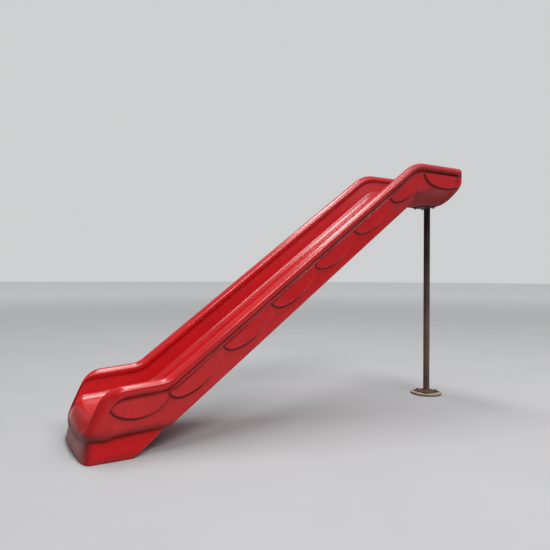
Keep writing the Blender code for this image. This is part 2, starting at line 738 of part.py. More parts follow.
def plate_mesh(name, size_x, size_y, thickness, holes, hole_r):
    """Flat plate centred on the post's axis, its underside at z = 0."""
    bm = bmesh.new()
    bmesh.ops.create_cube(bm, size=1.0)
    bmesh.ops.scale(bm, vec=(size_x, size_y, thickness), verts=bm.verts)
    bmesh.ops.translate(bm, vec=(0.0, 0.0, thickness / 2), verts=bm.verts)
    upright = [e for e in bm.edges if abs(e.verts[0].co.z - e.verts[1].co.z) > thickness / 2]
    bmesh.ops.bevel(bm, geom=upright, offset=PLATE_CORNER_R, segments=3, profile=0.5,
                    affect='EDGES')
    mesh = bpy.data.meshes.new(name)
    bm.to_mesh(mesh)
    bm.free()
    cut = round_bar("hole", hole_r, thickness + 2 * POCKET_OUT, THREAD_SIDES)
    cuts = joined("holes", [(cut, shift(x, y, -POCKET_OUT)) for x, y in holes])
    return boolean(mesh, cuts, 'DIFFERENCE')


def corner_holes(spacing_x, spacing_y):
    return [(sx * spacing_x / 2, sy * spacing_y / 2) for sx in (-1, 1) for sy in (-1, 1)]


def hexagon(name, flats, thickness, bore=0.0):
    """Hexagonal head or nut along +Z; the bore is cut with as many sides as the threads."""
    body = round_bar(name, flats / math.sqrt(3), thickness, 6)
    if not bore:
        return body
    cut = round_bar("bore", bore, thickness + 2 * POCKET_OUT, THREAD_SIDES)
    cut.transform(shift(0.0, 0.0, -POCKET_OUT))
    return boolean(body, cut, 'DIFFERENCE')


def split_washer():
    """Spring lock washer: a ring with a gap."""
    ring = round_bar("ring", LOCK_WASHER_R, LOCK_WASHER_T, THREAD_SIDES, BOLT_R + HOLE_CLEARANCE)
    bm = bmesh.new()
    bmesh.ops.create_cube(bm, size=1.0)
    size = (LOCK_WASHER_R * 2, LOCK_WASHER_SPLIT, LOCK_WASHER_T * 3)
    bmesh.ops.scale(bm, vec=size, verts=bm.verts)
    bmesh.ops.translate(bm, vec=(LOCK_WASHER_R, 0.0, 0.0), verts=bm.verts)
    gap = bpy.data.meshes.new("gap")
    bm.to_mesh(gap)
    bm.free()
    return boolean(ring, gap, 'DIFFERENCE')


def bolt_mesh():
    """Hexagon bolt, head down at z = 0 and shank along +Z."""
    head = hexagon("head", HEX_FLATS, BOLT_HEAD_T)
    stack = LOCK_WASHER_T + WASHER_T + HEAD_PLATE_T + 4 * SEAT
    shank = round_bar("shank", BOLT_R, stack + BOLT_GRIP + BOLT_HEAD_T / 2, THREAD_SIDES)
    shank.transform(shift(0.0, 0.0, BOLT_HEAD_T / 2))
    return boolean(head, shank, 'UNION')


def add_set(name, mesh, material_name, parent, places):
    """One object for each place, all sharing a mesh."""
    for number, place in enumerate(places, start=1):
        add_object(f"{name}_{number}", mesh, material_name, parent).matrix_local = place


def turned_disc(name, radius, thickness, chamfer, sides):
    """Disc with a chamfered upper edge, its underside at z = 0."""
    bm = bmesh.new()
    rims = [(radius, 0.0), (radius, thickness - chamfer), (radius - chamfer, thickness)]
    loops = [[bm.verts.new((r * math.cos(a), r * math.sin(a), z))
              for a in (2 * math.pi * j / sides for j in range(sides))] for r, z in rims]
    for low, high in zip(loops, loops[1:]):
        for j in range(sides):
            n = (j + 1) % sides
            bm.faces.new((low[j], low[n], high[n], high[j]))
    bm.faces.new(loops[-1])
    bm.faces.new(tuple(reversed(loops[0])))
    mesh = bpy.data.meshes.new(name)
    bm.to_mesh(mesh)
    bm.free()
    return mesh


def build():
    clear_scene()
    rings = skin_points(stations())
    front = float(rings[:, :, 0].min())
    back = max(ENTRY_END_X, POST_X + PAD_R)
    origin = bpy.data.objects.new("slide", None)
    bpy.context.collection.objects.link(origin)
    origin.location = (-(front + back) / 2, 0.0, 0.0)

    add_object("chute", chute_mesh(), "red_polyethylene", origin)
    add_object("vent_plug", plug_mesh(), "black_polyethylene", origin)
    insert = round_bar("insert", INSERT_R, INSERT_LENGTH, INSERT_SIDES, INSERT_BORE_R)
    for name, places in (("belly_insert", belly_places()), ("entry_insert", entry_places()),
                         ("foot_insert", foot_places())):
        add_set(name, insert, "brass", origin, [m @ into(SEAT) for m in places])

    hole_r = BOLT_R + HOLE_CLEARANCE
    head_z = BELLY_Z - SEAT - HEAD_PLATE_T
    head_holes = corner_holes(HEAD_BOLTS_X, HEAD_BOLTS_Y)
    plate = plate_mesh("head_plate", HEAD_PLATE_X, HEAD_PLATE_Y, HEAD_PLATE_T, head_holes, hole_r)
    head_x = POST_X - HEAD_PLATE_SET
    add_object("head_plate", plate, "brown_powder_coat", origin).location = (head_x, 0.0, head_z)
    washer = round_bar("washer", WASHER_R, WASHER_T, THREAD_SIDES, hole_r)
    lock = split_washer()
    washer_z = head_z - SEAT - WASHER_T
    lock_z = washer_z - SEAT - LOCK_WASHER_T
    bolt_z = lock_z - SEAT - BOLT_HEAD_T
    for name, mesh, z in (("head_washer", washer, washer_z), ("head_lock_washer", lock, lock_z),
                          ("head_bolt", bolt_mesh(), bolt_z)):
        add_set(name, mesh, "zinc_steel", origin, [shift(head_x + x, y, z) for x, y in head_holes])

    base_z = PAD_T + SEAT
    post_z = base_z + BASE_PLATE_T + SEAT
    post = round_bar("post_tube", POST_R, head_z - SEAT - post_z, POST_SIDES, POST_R - POST_WALL)
    add_object("post_tube", post, "brown_powder_coat", origin).location = (POST_X, 0.0, post_z)
    base_holes = corner_holes(BASE_BOLTS, BASE_BOLTS)
    base = plate_mesh("base_plate", BASE_PLATE_SIDE, BASE_PLATE_SIDE, BASE_PLATE_T, base_holes, hole_r)
    add_object("base_plate", base, "brown_powder_coat", origin).location = (POST_X, 0.0, base_z)

    washer_z = post_z
    lock_z = washer_z + WASHER_T + SEAT
    nut_z = lock_z + LOCK_WASHER_T + SEAT
    nut = hexagon("nut", HEX_FLATS, NUT_T, BOLT_R + SEAT)
    stud_z = PAD_T - STUD_DEPTH
    stud = round_bar("stud", BOLT_R, nut_z + NUT_T + STUD_TIP - stud_z, THREAD_SIDES)
    for name, mesh, z in (("anchor_washer", washer, washer_z), ("anchor_lock_washer", lock, lock_z),
                          ("anchor_nut", nut, nut_z), ("anchor_stud", stud, stud_z)):
        add_set(name, mesh, "zinc_steel", origin, [shift(POST_X + x, y, z) for x, y in base_holes])

    pad = turned_disc("footing_pad", PAD_R, PAD_T, PAD_CHAMFER, PAD_SIDES)
    socket = round_bar("socket", BOLT_R + SEAT, STUD_DEPTH + SEAT + POCKET_OUT, THREAD_SIDES)
    sockets = joined("sockets", [(socket, shift(x, y, stud_z - SEAT)) for x, y in base_holes])
    pad = boolean(pad, sockets, 'DIFFERENCE')
    add_object("footing_pad", pad, "sand_concrete", origin).location = (POST_X, 0.0, 0.0)

    for item in bpy.data.objects:
        if item.type == 'MESH':
            item.data.shade_smooth()
            item.data.set_sharp_from_angle(angle=SMOOTH_ANGLE)


build()
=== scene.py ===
# %% [markdown]
# # A moulded playground slide
#
# The real slide is one hollow plastic moulding, held up at its high end by a single steel post.
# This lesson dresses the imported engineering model, which fixes every size and place, with finer
# surfaces and with finishes made of shader nodes. The frame is opened first, because every
# later step takes its places from it.

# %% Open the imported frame
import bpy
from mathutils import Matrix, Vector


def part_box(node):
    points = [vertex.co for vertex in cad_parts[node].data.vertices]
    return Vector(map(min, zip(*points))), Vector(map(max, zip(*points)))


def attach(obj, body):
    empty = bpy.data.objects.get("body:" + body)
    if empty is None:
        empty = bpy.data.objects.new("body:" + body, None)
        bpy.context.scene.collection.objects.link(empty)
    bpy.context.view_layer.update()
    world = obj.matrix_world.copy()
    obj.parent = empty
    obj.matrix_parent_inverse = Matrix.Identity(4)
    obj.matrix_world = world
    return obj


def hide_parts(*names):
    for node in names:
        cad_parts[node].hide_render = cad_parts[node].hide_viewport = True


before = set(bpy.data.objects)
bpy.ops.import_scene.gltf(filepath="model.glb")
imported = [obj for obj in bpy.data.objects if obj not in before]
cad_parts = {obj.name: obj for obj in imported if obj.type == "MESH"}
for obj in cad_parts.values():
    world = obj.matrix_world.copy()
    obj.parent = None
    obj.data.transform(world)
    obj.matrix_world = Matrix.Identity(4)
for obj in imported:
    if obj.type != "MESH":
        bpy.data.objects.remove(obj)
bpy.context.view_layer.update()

import bpy
import bmesh
import math
import numpy as np
from mathutils import Matrix, Vector

print("nodes in the frame:", len(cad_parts))

# %% [markdown]
# ## From grids to meshes
#
# Every new surface here is a grid of points, row after row. It could be pulled into shape by
# hand, but a grid that a formula fills is exact and quick to change. Neighbouring points make
# four-sided faces, and a flat face closes each end. A mesh whose volume comes out negative is
# inside out, so its faces are turned round.

# %% Grids to meshes


def grid_quads(rows, columns):
    """Four-sided faces between neighbouring rows of a grid numbered row by row, closed across."""
    r = np.arange(rows - 1)[:, None]
    c = np.arange(columns)[None, :]
    n = (c + 1) % columns
    return np.stack([r * columns + c, r * columns + n, (r + 1) * columns + n, (r + 1) * columns + c],
                    axis=-1).reshape(-1, 4)


def closed_stack(name, rings):
    """Closed skin over rings of equal length: quads between them and a flat face at each end."""
    count, around = rings.shape[:2]
    caps = [list(range(around))[::-1], list(range((count - 1) * around, count * around))]
    mesh = bpy.data.meshes.new(name)
    mesh.from_pydata(rings.reshape(-1, 3).tolist(), [], grid_quads(count, around).tolist() + caps)
    mesh.update()
    bm = bmesh.new()
    bm.from_mesh(mesh)
    if bm.calc_volume(signed=True) < 0:
        bmesh.ops.reverse_faces(bm, faces=bm.faces)
    bm.to_mesh(mesh)
    bm.free()
    return mesh


print("faces between 3 rows of 4 points:", len(grid_quads(3, 4)))

# %% [markdown]
# ## Pieces on the frame
#
# A piece is an object at the origin, with its place in its mesh, so that a pattern on object
# coordinates stays where it is. It rides on the frame's only body and stands for the solids that
# it replaces. Numbers stored on its points tell a material where dirt or wear belongs, and the
# S-curve below shapes nearly all of them.

# %% Pieces and stored numbers


def add_piece(name, mesh, finish, nodes=(), sharp=35):
    """Object at the origin that rides on the frame, stands for CAD nodes and takes a finish."""
    piece = bpy.data.objects.new(name, mesh)
    bpy.context.scene.collection.objects.link(piece)
    mesh.materials.clear()
    mesh.materials.append(finish)
    mesh.shade_smooth()
    mesh.set_sharp_from_angle(angle=math.radians(sharp))
    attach(piece, "root")
    if nodes:
        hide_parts(*nodes)
    print(name, len(mesh.vertices), "points,", len(mesh.polygons), "faces")
    return piece


def keep_share(mesh, name, values):
    """Stores one number for each point, which a material can read by its name."""
    layer = mesh.attributes.new(name, 'FLOAT', 'POINT')
    layer.data.foreach_set("value", np.asarray(values, np.float32).ravel())


def smooth(low, high, x):
    """0 below low, 1 above high and the S-curve 3 t^2 - 2 t^3 in between."""
    t = np.clip((x - low) / (high - low), 0.0, 1.0)
    return t * t * (3 - 2 * t)


print("a quarter of the way up the S-curve:", smooth(0.0, 1.0, 0.25))

# %% [markdown]
# ## Sizes of the slide
#
# The engineering model was made from these sizes, so the finer surfaces use them too. All of it
# is worked out with x = 0 in the foot's rounded front and x = 2.655 in the end face that goes
# against the platform, and SHIFT moves it into the frame.

# %% Sizes
ENTRY_END_X, ENTRY_BED_Z = 2.655, 1.568
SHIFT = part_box("chute")[1].x - ENTRY_END_X
SLOPE, EXIT = math.radians(36.8), math.radians(4.5)
LOWER_CORNER = np.array([0.481, 0.2336])
# the section: rails over the bed, bed with its fillets, flat sides and belly
RAIL_HEIGHT, RAIL_R, RAIL_Y = 0.158, 0.035, 0.2765
BED_HALF, BED_FILLET = 0.188, 0.047
SIDE_Y, UNDER_DROP, SIDE_END_Z = 0.298, 0.055, 1.590
BELLY_Z, BELLY_FLAT = 1.469, 0.085
# bends of the lines that run along the slide
LOWER_BEND_R, UPPER_BEND_R, CREST_BEND_R = 0.30, 0.22, 0.27
CURL, CURL_R, CURL_BACK = (0.011, 0.094), 0.030, 0.055
LIP_X, LIP_R = 0.080, 0.055
NOSE_X, NOSE_R = 0.124, 0.11
EDGE_TURN_BACK, EDGE_TURN_R, BELLY_TURN_R = 0.0797, 0.15, 0.20
# the hollow between chute and foot, the end flange, and the plan of the rounded front
UNDERCUT_Z, UNDERCUT_BACK_X = 0.100, 0.424
FLANGE_LENGTH, FLANGE_PROUD = 0.045, 0.0035
NOSE_HALF, NOSE_DEPTH, NOSE_POWER = 0.302, 0.110, 2.5
print("the frame is moved by", round(SHIFT, 5))

# %% [markdown]
# ## Lines with rounded corners
#
# Seen from the side, four lines run the whole length of the slide: the bed, the crest of the
# rails, the lower edge of the side and the belly. A spline could be drawn through them, but a
# real mould is drawn with straights and arcs, so each line is a polyline whose corners are
# replaced by arcs.

# %% Rounded lines


def heading(angle):
    """Unit step (cos, sin) in the side view."""
    return np.array([math.cos(angle), math.sin(angle)])


def square_to(angle):
    """Unit step a quarter turn to the left of a heading: (-sin, cos)."""
    return np.array([-math.sin(angle), math.cos(angle)])


def rounded_line(corners, radii, steps):
    """Polyline with rounded corners: at each corner an arc of its radius that touches both legs.

    The arc starts radius tan(turn / 2) before the corner, and its centre lies square to the leg.
    steps holds the number of steps of each straight and each arc in turn.
    """
    corners = [np.asarray(c, float) for c in corners]
    pieces = [corners[0][None]]
    for k, radius in enumerate(radii):
        before = corners[k + 1] - corners[k]
        after = corners[k + 2] - corners[k + 1]
        before, after = before / np.linalg.norm(before), after / np.linalg.norm(after)
        turn = math.atan2(before[0] * after[1] - before[1] * after[0], float(before @ after))
        start = corners[k + 1] - before * radius * math.tan(abs(turn) / 2)
        centre = start + math.copysign(radius, turn) * np.array([-before[1], before[0]])
        share = np.arange(1, steps[2 * k] + 1)[:, None] / steps[2 * k]
        pieces.append(pieces[-1][-1] + (start - pieces[-1][-1]) * share)
        a = turn * np.arange(1, steps[2 * k + 1] + 1) / steps[2 * k + 1]
        spoke = start - centre
        pieces.append(centre + np.stack([spoke[0] * np.cos(a) - spoke[1] * np.sin(a),
                                         spoke[0] * np.sin(a) + spoke[1] * np.cos(a)], axis=1))
    share = np.arange(1, steps[-1] + 1)[:, None] / steps[-1]
    pieces.append(pieces[-1][-1] + (corners[-1] - pieces[-1][-1]) * share)
    return np.concatenate(pieces)


square_corner = rounded_line([(0, 0), (1, 0), (1, 1)], [0.5], (1, 4, 1))
print("a square corner in 6 steps:", len(square_corner), "points")

# %% [markdown]
# ## Corners of the bed
#
# The bed has two corners: exit to slope, and slope to entry. Rails and underside follow it at a
# fixed distance, so their corners are the bed's, moved square to both legs. That is where two
# shifted lines cross, and one small function finds it.

# %% Corners and slanted heights


def crossing(point_a, angle_a, point_b, angle_b):
    """Where two lines cross: a + da (gap x db) / (da x db), x being the flat cross product."""
    da, db = heading(angle_a), heading(angle_b)
    gap = np.asarray(point_b, float) - np.asarray(point_a, float)
    return np.asarray(point_a, float) + da * (gap[0] * db[1] - gap[1] * db[0]) / (
        da[0] * db[1] - da[1] * db[0])


UPPER_CORNER = crossing(LOWER_CORNER, SLOPE, (0.0, ENTRY_BED_Z), 0.0)


def corners_at(rise):
    """The two corners of the bed's line, moved square to it by rise."""
    low = crossing(LOWER_CORNER + square_to(EXIT) * rise, EXIT,
                   LOWER_CORNER + square_to(SLOPE) * rise, SLOPE)
    high = crossing(LOWER_CORNER + square_to(SLOPE) * rise, SLOPE,
                    UPPER_CORNER + np.array([0.0, rise]), 0.0)
    return low, high


def slope_z(x, rise):
    """Height at x of the slope's line after moving it square to itself by rise."""
    on_line = LOWER_CORNER + square_to(SLOPE) * rise
    return on_line[1] + (x - on_line[0]) * math.tan(SLOPE)


def undercut_z(x):
    """Height of the hollow over the foot: a straight climb from UNDERCUT_Z to the underside."""
    rise = slope_z(UNDERCUT_BACK_X, -UNDER_DROP) - UNDERCUT_Z
    return UNDERCUT_Z + rise * np.maximum(0.0, x) / UNDERCUT_BACK_X


print("bed corners:", LOWER_CORNER.round(4), UPPER_CORNER.round(4))

# %% [markdown]
# ## The four lines
#
# Because all four lines have the same number of points, point k of each belongs to one section.
# The steps are much finer than in the engineering model. Its own step count of each stretch is
# kept beside them, so that "half way along the lip" means the same place in both.

# %% Steps of the lines
FINE = (3, 14, 6, 34, 10, 30, 44, 30, 12)
COARSE = (1, 3, 1, 5, 2, 6, 6, 7, 3)
stage_at = np.interp(np.arange(sum(FINE) + 1), np.concatenate([[0], np.cumsum(FINE)]),
                     np.concatenate([[0], np.cumsum(COARSE)]))
CURL_STAGE, FRONT_STAGE, EXIT_STAGE = 5, 10, 12
FRONT_STEPS = FINE[:4]
print("stages along the slide:", stage_at[-1])

# %% The four lines


def lower_line(tail, corner, radius, front_x):
    """Line along the bottom: the undercut over the foot, then the slope, then the entry.

    Over the foot its points are spread evenly in x up to the first bend, stage by stage.
    """
    back = (UNDERCUT_BACK_X, float(undercut_z(UNDERCUT_BACK_X)))
    bend_steps = FINE[len(FRONT_STEPS)]
    line = rounded_line([(front_x, float(undercut_z(front_x))), back, corner, tail],
                        [LOWER_BEND_R / 2, radius], FINE[len(FRONT_STEPS):])
    bend_x = line[bend_steps][0]
    step = (bend_x - front_x) / 2 / (FRONT_STAGE + 1)
    stages = np.arange(EXIT_STAGE + 1)
    places = np.append(front_x + step * np.arange(FRONT_STAGE + 2), bend_x)
    x = np.interp(stage_at[:sum(FRONT_STEPS) + bend_steps + 1], stages, places)
    return np.concatenate([np.stack([x, undercut_z(x)], axis=1), line[bend_steps + 1:]])


end_x = ENTRY_END_X - FLANGE_LENGTH
under_x = CURL[0] + CURL_BACK
UNDER_STAGGER = 0.013
lip = LOWER_CORNER - heading(EXIT) * (LOWER_CORNER[0] - LIP_X) / math.cos(EXIT)
bed_line = rounded_line([(under_x, UNDERCUT_Z), CURL, lip, LOWER_CORNER, UPPER_CORNER,
                         (end_x, ENTRY_BED_Z)], [CURL_R, LIP_R, LOWER_BEND_R, UPPER_BEND_R], FINE)
crest_low, crest_high = corners_at(RAIL_HEIGHT)
nose = crest_low - heading(EXIT) * (crest_low[0] - NOSE_X) / math.cos(EXIT)
crest_line = rounded_line([(under_x, UNDERCUT_Z), CURL, nose, crest_low, crest_high,
                           (end_x, ENTRY_BED_Z + RAIL_HEIGHT)],
                          [CURL_R, NOSE_R, LOWER_BEND_R - RAIL_HEIGHT, CREST_BEND_R], FINE)
turn_x = UPPER_CORNER[0] - EDGE_TURN_BACK
edge_turn = (turn_x, slope_z(turn_x, -UNDER_DROP))
edge_climb = (SIDE_END_Z - edge_turn[1]) / (ENTRY_END_X - turn_x)
edge_end = (end_x, edge_turn[1] + edge_climb * (end_x - turn_x))
edge_line = lower_line(edge_end, edge_turn, EDGE_TURN_R, under_x + UNDER_STAGGER)
belly_turn = crossing(edge_turn, SLOPE, (0.0, BELLY_Z), 0.0)
belly_line = lower_line((end_x, BELLY_Z), belly_turn, BELLY_TURN_R, under_x + 2 * UNDER_STAGGER)
print("stations:", len(bed_line), len(crest_line), len(edge_line), len(belly_line))

# %% [markdown]
# ## The section
#
# Half of the section goes from the middle of the bed up the inner wall, over the rolled rail,
# into the groove under it, down the flat side and round under the belly. The rail is an arc,
# and the crease and the groove beside it are smooth joining curves, because a moulding has no
# sharp inside corners.

# %% Arcs and joining curves


def arc_points(centre, radius, start, stop, steps):
    """Points centre + radius (cos a, sin a), with a going from start to stop in degrees."""
    a = np.radians(np.linspace(start, stop, steps + 1))
    return np.stack([centre[0] + radius * np.cos(a), centre[1] + radius * np.sin(a)], axis=1)


def easing_curve(start, lean, stop, arrival, steps):
    """Curve that leaves start along lean and reaches stop along arrival (a cubic in Hermite form).

    start (2t^3 - 3t^2 + 1) + lean (t^3 - 2t^2 + t) + stop (3t^2 - 2t^3) + arrival (t^3 - t^2)
    """
    t = np.linspace(0.0, 1.0, steps + 1)[1:, None]
    return ((2 * t**3 - 3 * t**2 + 1) * np.array(start) + (t**3 - 2 * t**2 + t) * np.array(lean)
            + (3 * t**2 - 2 * t**3) * np.array(stop) + (t**3 - t**2) * np.array(arrival))


print("a half circle in 4 steps:", len(arc_points((0, 0), 1, 0, 180, 4)), "points")

# %% Inner profile, as (y, height over the bed)
CREASE_OUT, CREASE_DROP = 0.0075, 0.020
roll_z = RAIL_HEIGHT - RAIL_R
crease = np.array([RAIL_Y - RAIL_R + CREASE_OUT, roll_z - CREASE_DROP])
fillet = arc_points((BED_HALF, BED_FILLET), BED_FILLET, -90, -6, 16)
roll_in = arc_points((RAIL_Y, roll_z), RAIL_R, 188, 90, 18)
wall = np.linspace(fillet[-1], crease, 9)[1:]
into_roll = easing_curve(crease, (0.002, 0.010), roll_in[0], (-0.001, 0.012), 6)[:-1]
bed_flat = np.stack([np.linspace(0.0, BED_HALF, 11)[:-1], np.zeros(10)], axis=1)
INNER = np.concatenate([bed_flat, fillet, wall, into_roll, roll_in])
inner_run = np.concatenate([[0.0], np.cumsum(np.linalg.norm(np.diff(INNER, axis=0), axis=1))])
# the same points spread evenly across, for the nose
INNER_EVEN = inner_run / inner_run[-1] * RAIL_Y
print("points of the inner profile:", len(INNER))

# %% Outer profile, as (y, drop under the crest)
VALLEY, GROOVE_END = (0.2945, 0.0670), (SIDE_Y, 0.0800)
roll_out = arc_points((RAIL_Y, 0.0), RAIL_R, 90, -32, 24)[1:]
roll_out = np.stack([roll_out[:, 0], RAIL_R - roll_out[:, 1]], axis=1)
valley = easing_curve(roll_out[-1], (-0.012, 0.018), VALLEY, (0.0, 0.012), 8)
rise_out = easing_curve(VALLEY, (0.0, 0.010), GROOVE_END, (0.0, 0.010), 6)
OUTER = np.concatenate([roll_out, valley, rise_out])
outer_share = np.linspace(0, 1, len(OUTER) + 1)[1:]
# without the groove, for the nose; and as one flat band, for the flange
OUTER_PLAIN = RAIL_Y + (SIDE_Y - RAIL_Y) * np.sin(outer_share * math.pi / 2)
widest = np.argmax(OUTER[:, 0])
OUTER_BAND = np.where(np.arange(len(OUTER)) < widest, OUTER[:, 0], OUTER[widest, 0])
print("points of the outer profile:", len(OUTER))

# %% [markdown]
# ## Sections to skin
#
# Each section is the same profile, stretched between its four line points. Where the bed and
# crest lines run together at the nose, the inner profile is spread evenly across the front
# instead. All sections are worked out at once: the lines are columns, the profile is a row.

# %% Upper part of the sections


def upper_part(bed, crest, down, shrink, plain, band, out):
    """Bed, wall and rail of every section, as y and as (x, z) places in the side view.

    Inner points lie at bed + rise (crest - bed) / rail height, outer ones at crest + drop down.
    """
    up = (crest - bed) / RAIL_HEIGHT
    full = np.minimum(1.0, 4 * np.linalg.norm(up, axis=1))[:, None]
    inner_y = INNER_EVEN + (INNER[:, 0] - INNER_EVEN) * full
    inner_p = bed[:, None] + up[:, None] * INNER[None, :, 1:]
    outer_y = OUTER[:, 0] + (OUTER_PLAIN - OUTER[:, 0]) * plain
    outer_y = outer_y + (OUTER_BAND - outer_y) * band + out * np.minimum(1.0, outer_share * 4)
    drop = OUTER[:, 1] * shrink
    outer_p = crest[:, None] + down[:, None] * drop[..., None]
    return inner_y, inner_p, outer_y, outer_p, drop[:, -1:]


print("points from the bed to the side:", len(INNER) + len(OUTER))

# %% [markdown]
# Under the slope the side ends in a quarter round and the underside is nearly flat. Under the
# entry the belly hangs lower, and side and belly are one roll. Both are worked out, and a share
# that grows with the distance between edge and belly leads from the one to the other.

# %% Lower part of the sections
SIDE_STEPS, EDGE_STEPS, UNDER_STEPS = 16, 10, 26


def lower_part(edge, belly, down, side_y, rounding, roll, q):
    """Lower edge and underside of every section: a flat bottom where q is 0, a roll where q is 1.

    Flat bottom: a quarter circle of radius rounding, then y falls with cos b and the height
    goes from edge to belly with sin b to the power 1.6. Roll: from roll above the edge, y falls
    with cos c to the power 1.25 and the height goes to the belly with a power of sin c.
    """
    a = np.linspace(0, math.pi / 2, EDGE_STEPS + 1)[1:]
    b = np.linspace(0, math.pi / 2, UNDER_STEPS + 1)[1:]
    c = np.linspace(0, math.pi / 2, EDGE_STEPS + UNDER_STEPS + 1)[1:]
    under_y = side_y - rounding
    flat_y = np.concatenate([side_y - rounding * (1 - np.cos(a)),
                             BELLY_FLAT + (under_y - BELLY_FLAT) * np.cos(b)], axis=1)
    flat_p = np.concatenate([
        edge[:, None] - down[:, None] * (rounding * (1 - np.sin(a)))[..., None],
        edge[:, None] + (belly - edge)[:, None] * (np.sin(b) ** 1.6)[None, :, None]], axis=1)
    side_end = edge - down * roll
    sink = np.sin(c) ** (1 + 0.35 * smooth(0.0, 0.9, c))
    roll_y = BELLY_FLAT + (side_y - BELLY_FLAT) * np.cos(c) ** 1.25
    roll_p = side_end[:, None] + (belly - side_end)[:, None] * sink[None, :, None]
    return flat_y + (roll_y - flat_y) * q, flat_p + (roll_p - flat_p) * q[..., None]


print("points from the side to the belly:", SIDE_STEPS + EDGE_STEPS + UNDER_STEPS)

# %% Half sections
FULL_REACH, STRAIGHT_REACH, ROLL_UNDER, FLAT_STEPS = 0.127, 0.092, 0.080, 4


def half_sections(bed, crest, edge, belly, plain, band, proud, edge_r):
    """Half sections from the bed's middle to the belly's: arrays of (x, y, z).

    plain (0 to 1) smooths the rail's groove away, band (0 to 1) makes rail and side one flat
    band, proud pushes the side outwards, and edge_r is the radius of the lower edge. The
    profile's drop shrinks where crest and edge are less than FULL_REACH apart.
    """
    down = edge - crest
    reach = np.linalg.norm(down, axis=1)[:, None]
    shrink = np.minimum(1.0, reach / FULL_REACH)
    down = down / reach
    plain, band, out = plain[:, None], band[:, None], proud[:, None]
    inner_y, inner_p, outer_y, outer_p, start = upper_part(bed, crest, down, shrink, plain, band, out)
    side_y = SIDE_Y + (OUTER_BAND[-1] - SIDE_Y) * band + out
    q = smooth(0.0, 0.06, np.linalg.norm(belly - edge, axis=1))[:, None]
    rounding = np.minimum(edge_r[:, None], reach * 0.3)
    roll = np.minimum(ROLL_UNDER, np.maximum(reach - STRAIGHT_REACH, 0.0)) * q
    stop = reach - rounding * (1 - q) - roll * q
    side_drop = start + (stop - start) * np.linspace(0, 1, SIDE_STEPS + 1)[1:]
    side_p = crest[:, None] + down[:, None] * side_drop[..., None]
    side = np.broadcast_to(side_y, side_drop.shape)
    lower_y, lower_p = lower_part(edge, belly, down, side_y, rounding, roll, q)
    middle_y = np.broadcast_to(np.linspace(BELLY_FLAT, 0, FLAT_STEPS + 1)[1:], (len(bed), FLAT_STEPS))
    middle_p = np.broadcast_to(belly[:, None], (len(bed), FLAT_STEPS, 2))
    y = np.concatenate([inner_y, outer_y, side, lower_y, middle_y], axis=1)
    p = np.concatenate([inner_p, outer_p, side_p, lower_p, middle_p], axis=1)
    return np.stack([p[..., 0], y, p[..., 1]], axis=-1)


half_points = len(INNER) + len(OUTER) + SIDE_STEPS + EDGE_STEPS + UNDER_STEPS + FLAT_STEPS
print("points of half a section:", half_points)

# %% [markdown]
# ## The rounded front
#
# From above, the real chute ends in a wide curve, further forward in the middle than at the
# corners, and its apron bulges over the foot. Building every section along that curve would be
# awkward, so straight sections are made first and their points are moved afterwards.

# %% The front's plan and corners
EDGE_R, APRON_SAG = 0.042, 0.034


def tucked_in(points, lack):
    """Rounds the lower corner of the sections that are too short for a full edge radius.

    A point that lies h above the undercut moves inwards by R - (R^2 - (R - h)^2)^(1/2), times
    lack, which is 0 where the section has room for the whole radius R.
    """
    height = np.maximum(0.0, points[..., 2] - undercut_z(points[..., 0]))
    depth = EDGE_R - np.minimum(height, EDGE_R)
    pull = EDGE_R - np.sqrt(EDGE_R ** 2 - depth ** 2)
    moved = points.copy()
    moved[..., 1] -= pull * lack[:, None] * smooth(0.16, 0.28, points[..., 1])
    return moved


def plan_setback(y, half, depth, power):
    """How far a rounded front lies behind its middle: depth (1 - (1 - |y/half|^n)^(1/n))."""
    t = np.minimum(0.985, np.abs(y) / half)
    return depth * (1 - (1 - t ** power) ** (1 / power))


def round_front(points):
    """Gives the front its rounded plan, forward in the middle and back at the corners.

    x grows by the setback at y less the one at the rail, and the apron sinks by APRON_SAG in
    the middle; both fade out behind the front.
    """
    ahead = 1 - smooth(0.035, 0.270, points[..., 0])
    setback = plan_setback(points[..., 1], NOSE_HALF, NOSE_DEPTH, NOSE_POWER)
    moved = points.copy()
    moved[..., 0] += (setback - plan_setback(RAIL_Y, NOSE_HALF, NOSE_DEPTH, NOSE_POWER)) * ahead
    middle = 1 - smooth(0.05, 0.30, np.abs(points[..., 1]))
    moved[..., 2] -= APRON_SAG * middle * ahead * smooth(0.170, 0.100, points[..., 2])
    return moved


print("the front's corners lie back by", round(plan_setback(RAIL_Y, NOSE_HALF, NOSE_DEPTH, NOSE_POWER), 4))

# %% [markdown]
# ## The whole skin
#
# The halves of the long part come first, then the short flange at the end, where the section
# swells into one flat band. A mirror modifier could make the other half, but with the points
# in an array it is enough to repeat them with y turned round.

# %% The chute's skin
SLOPE_EDGE_R = 0.018
FLANGE_SHARES = np.array([0.02, 0.045, 0.07, 0.095, 0.12, 0.15, 0.30, 0.60, 0.90, 1.0])


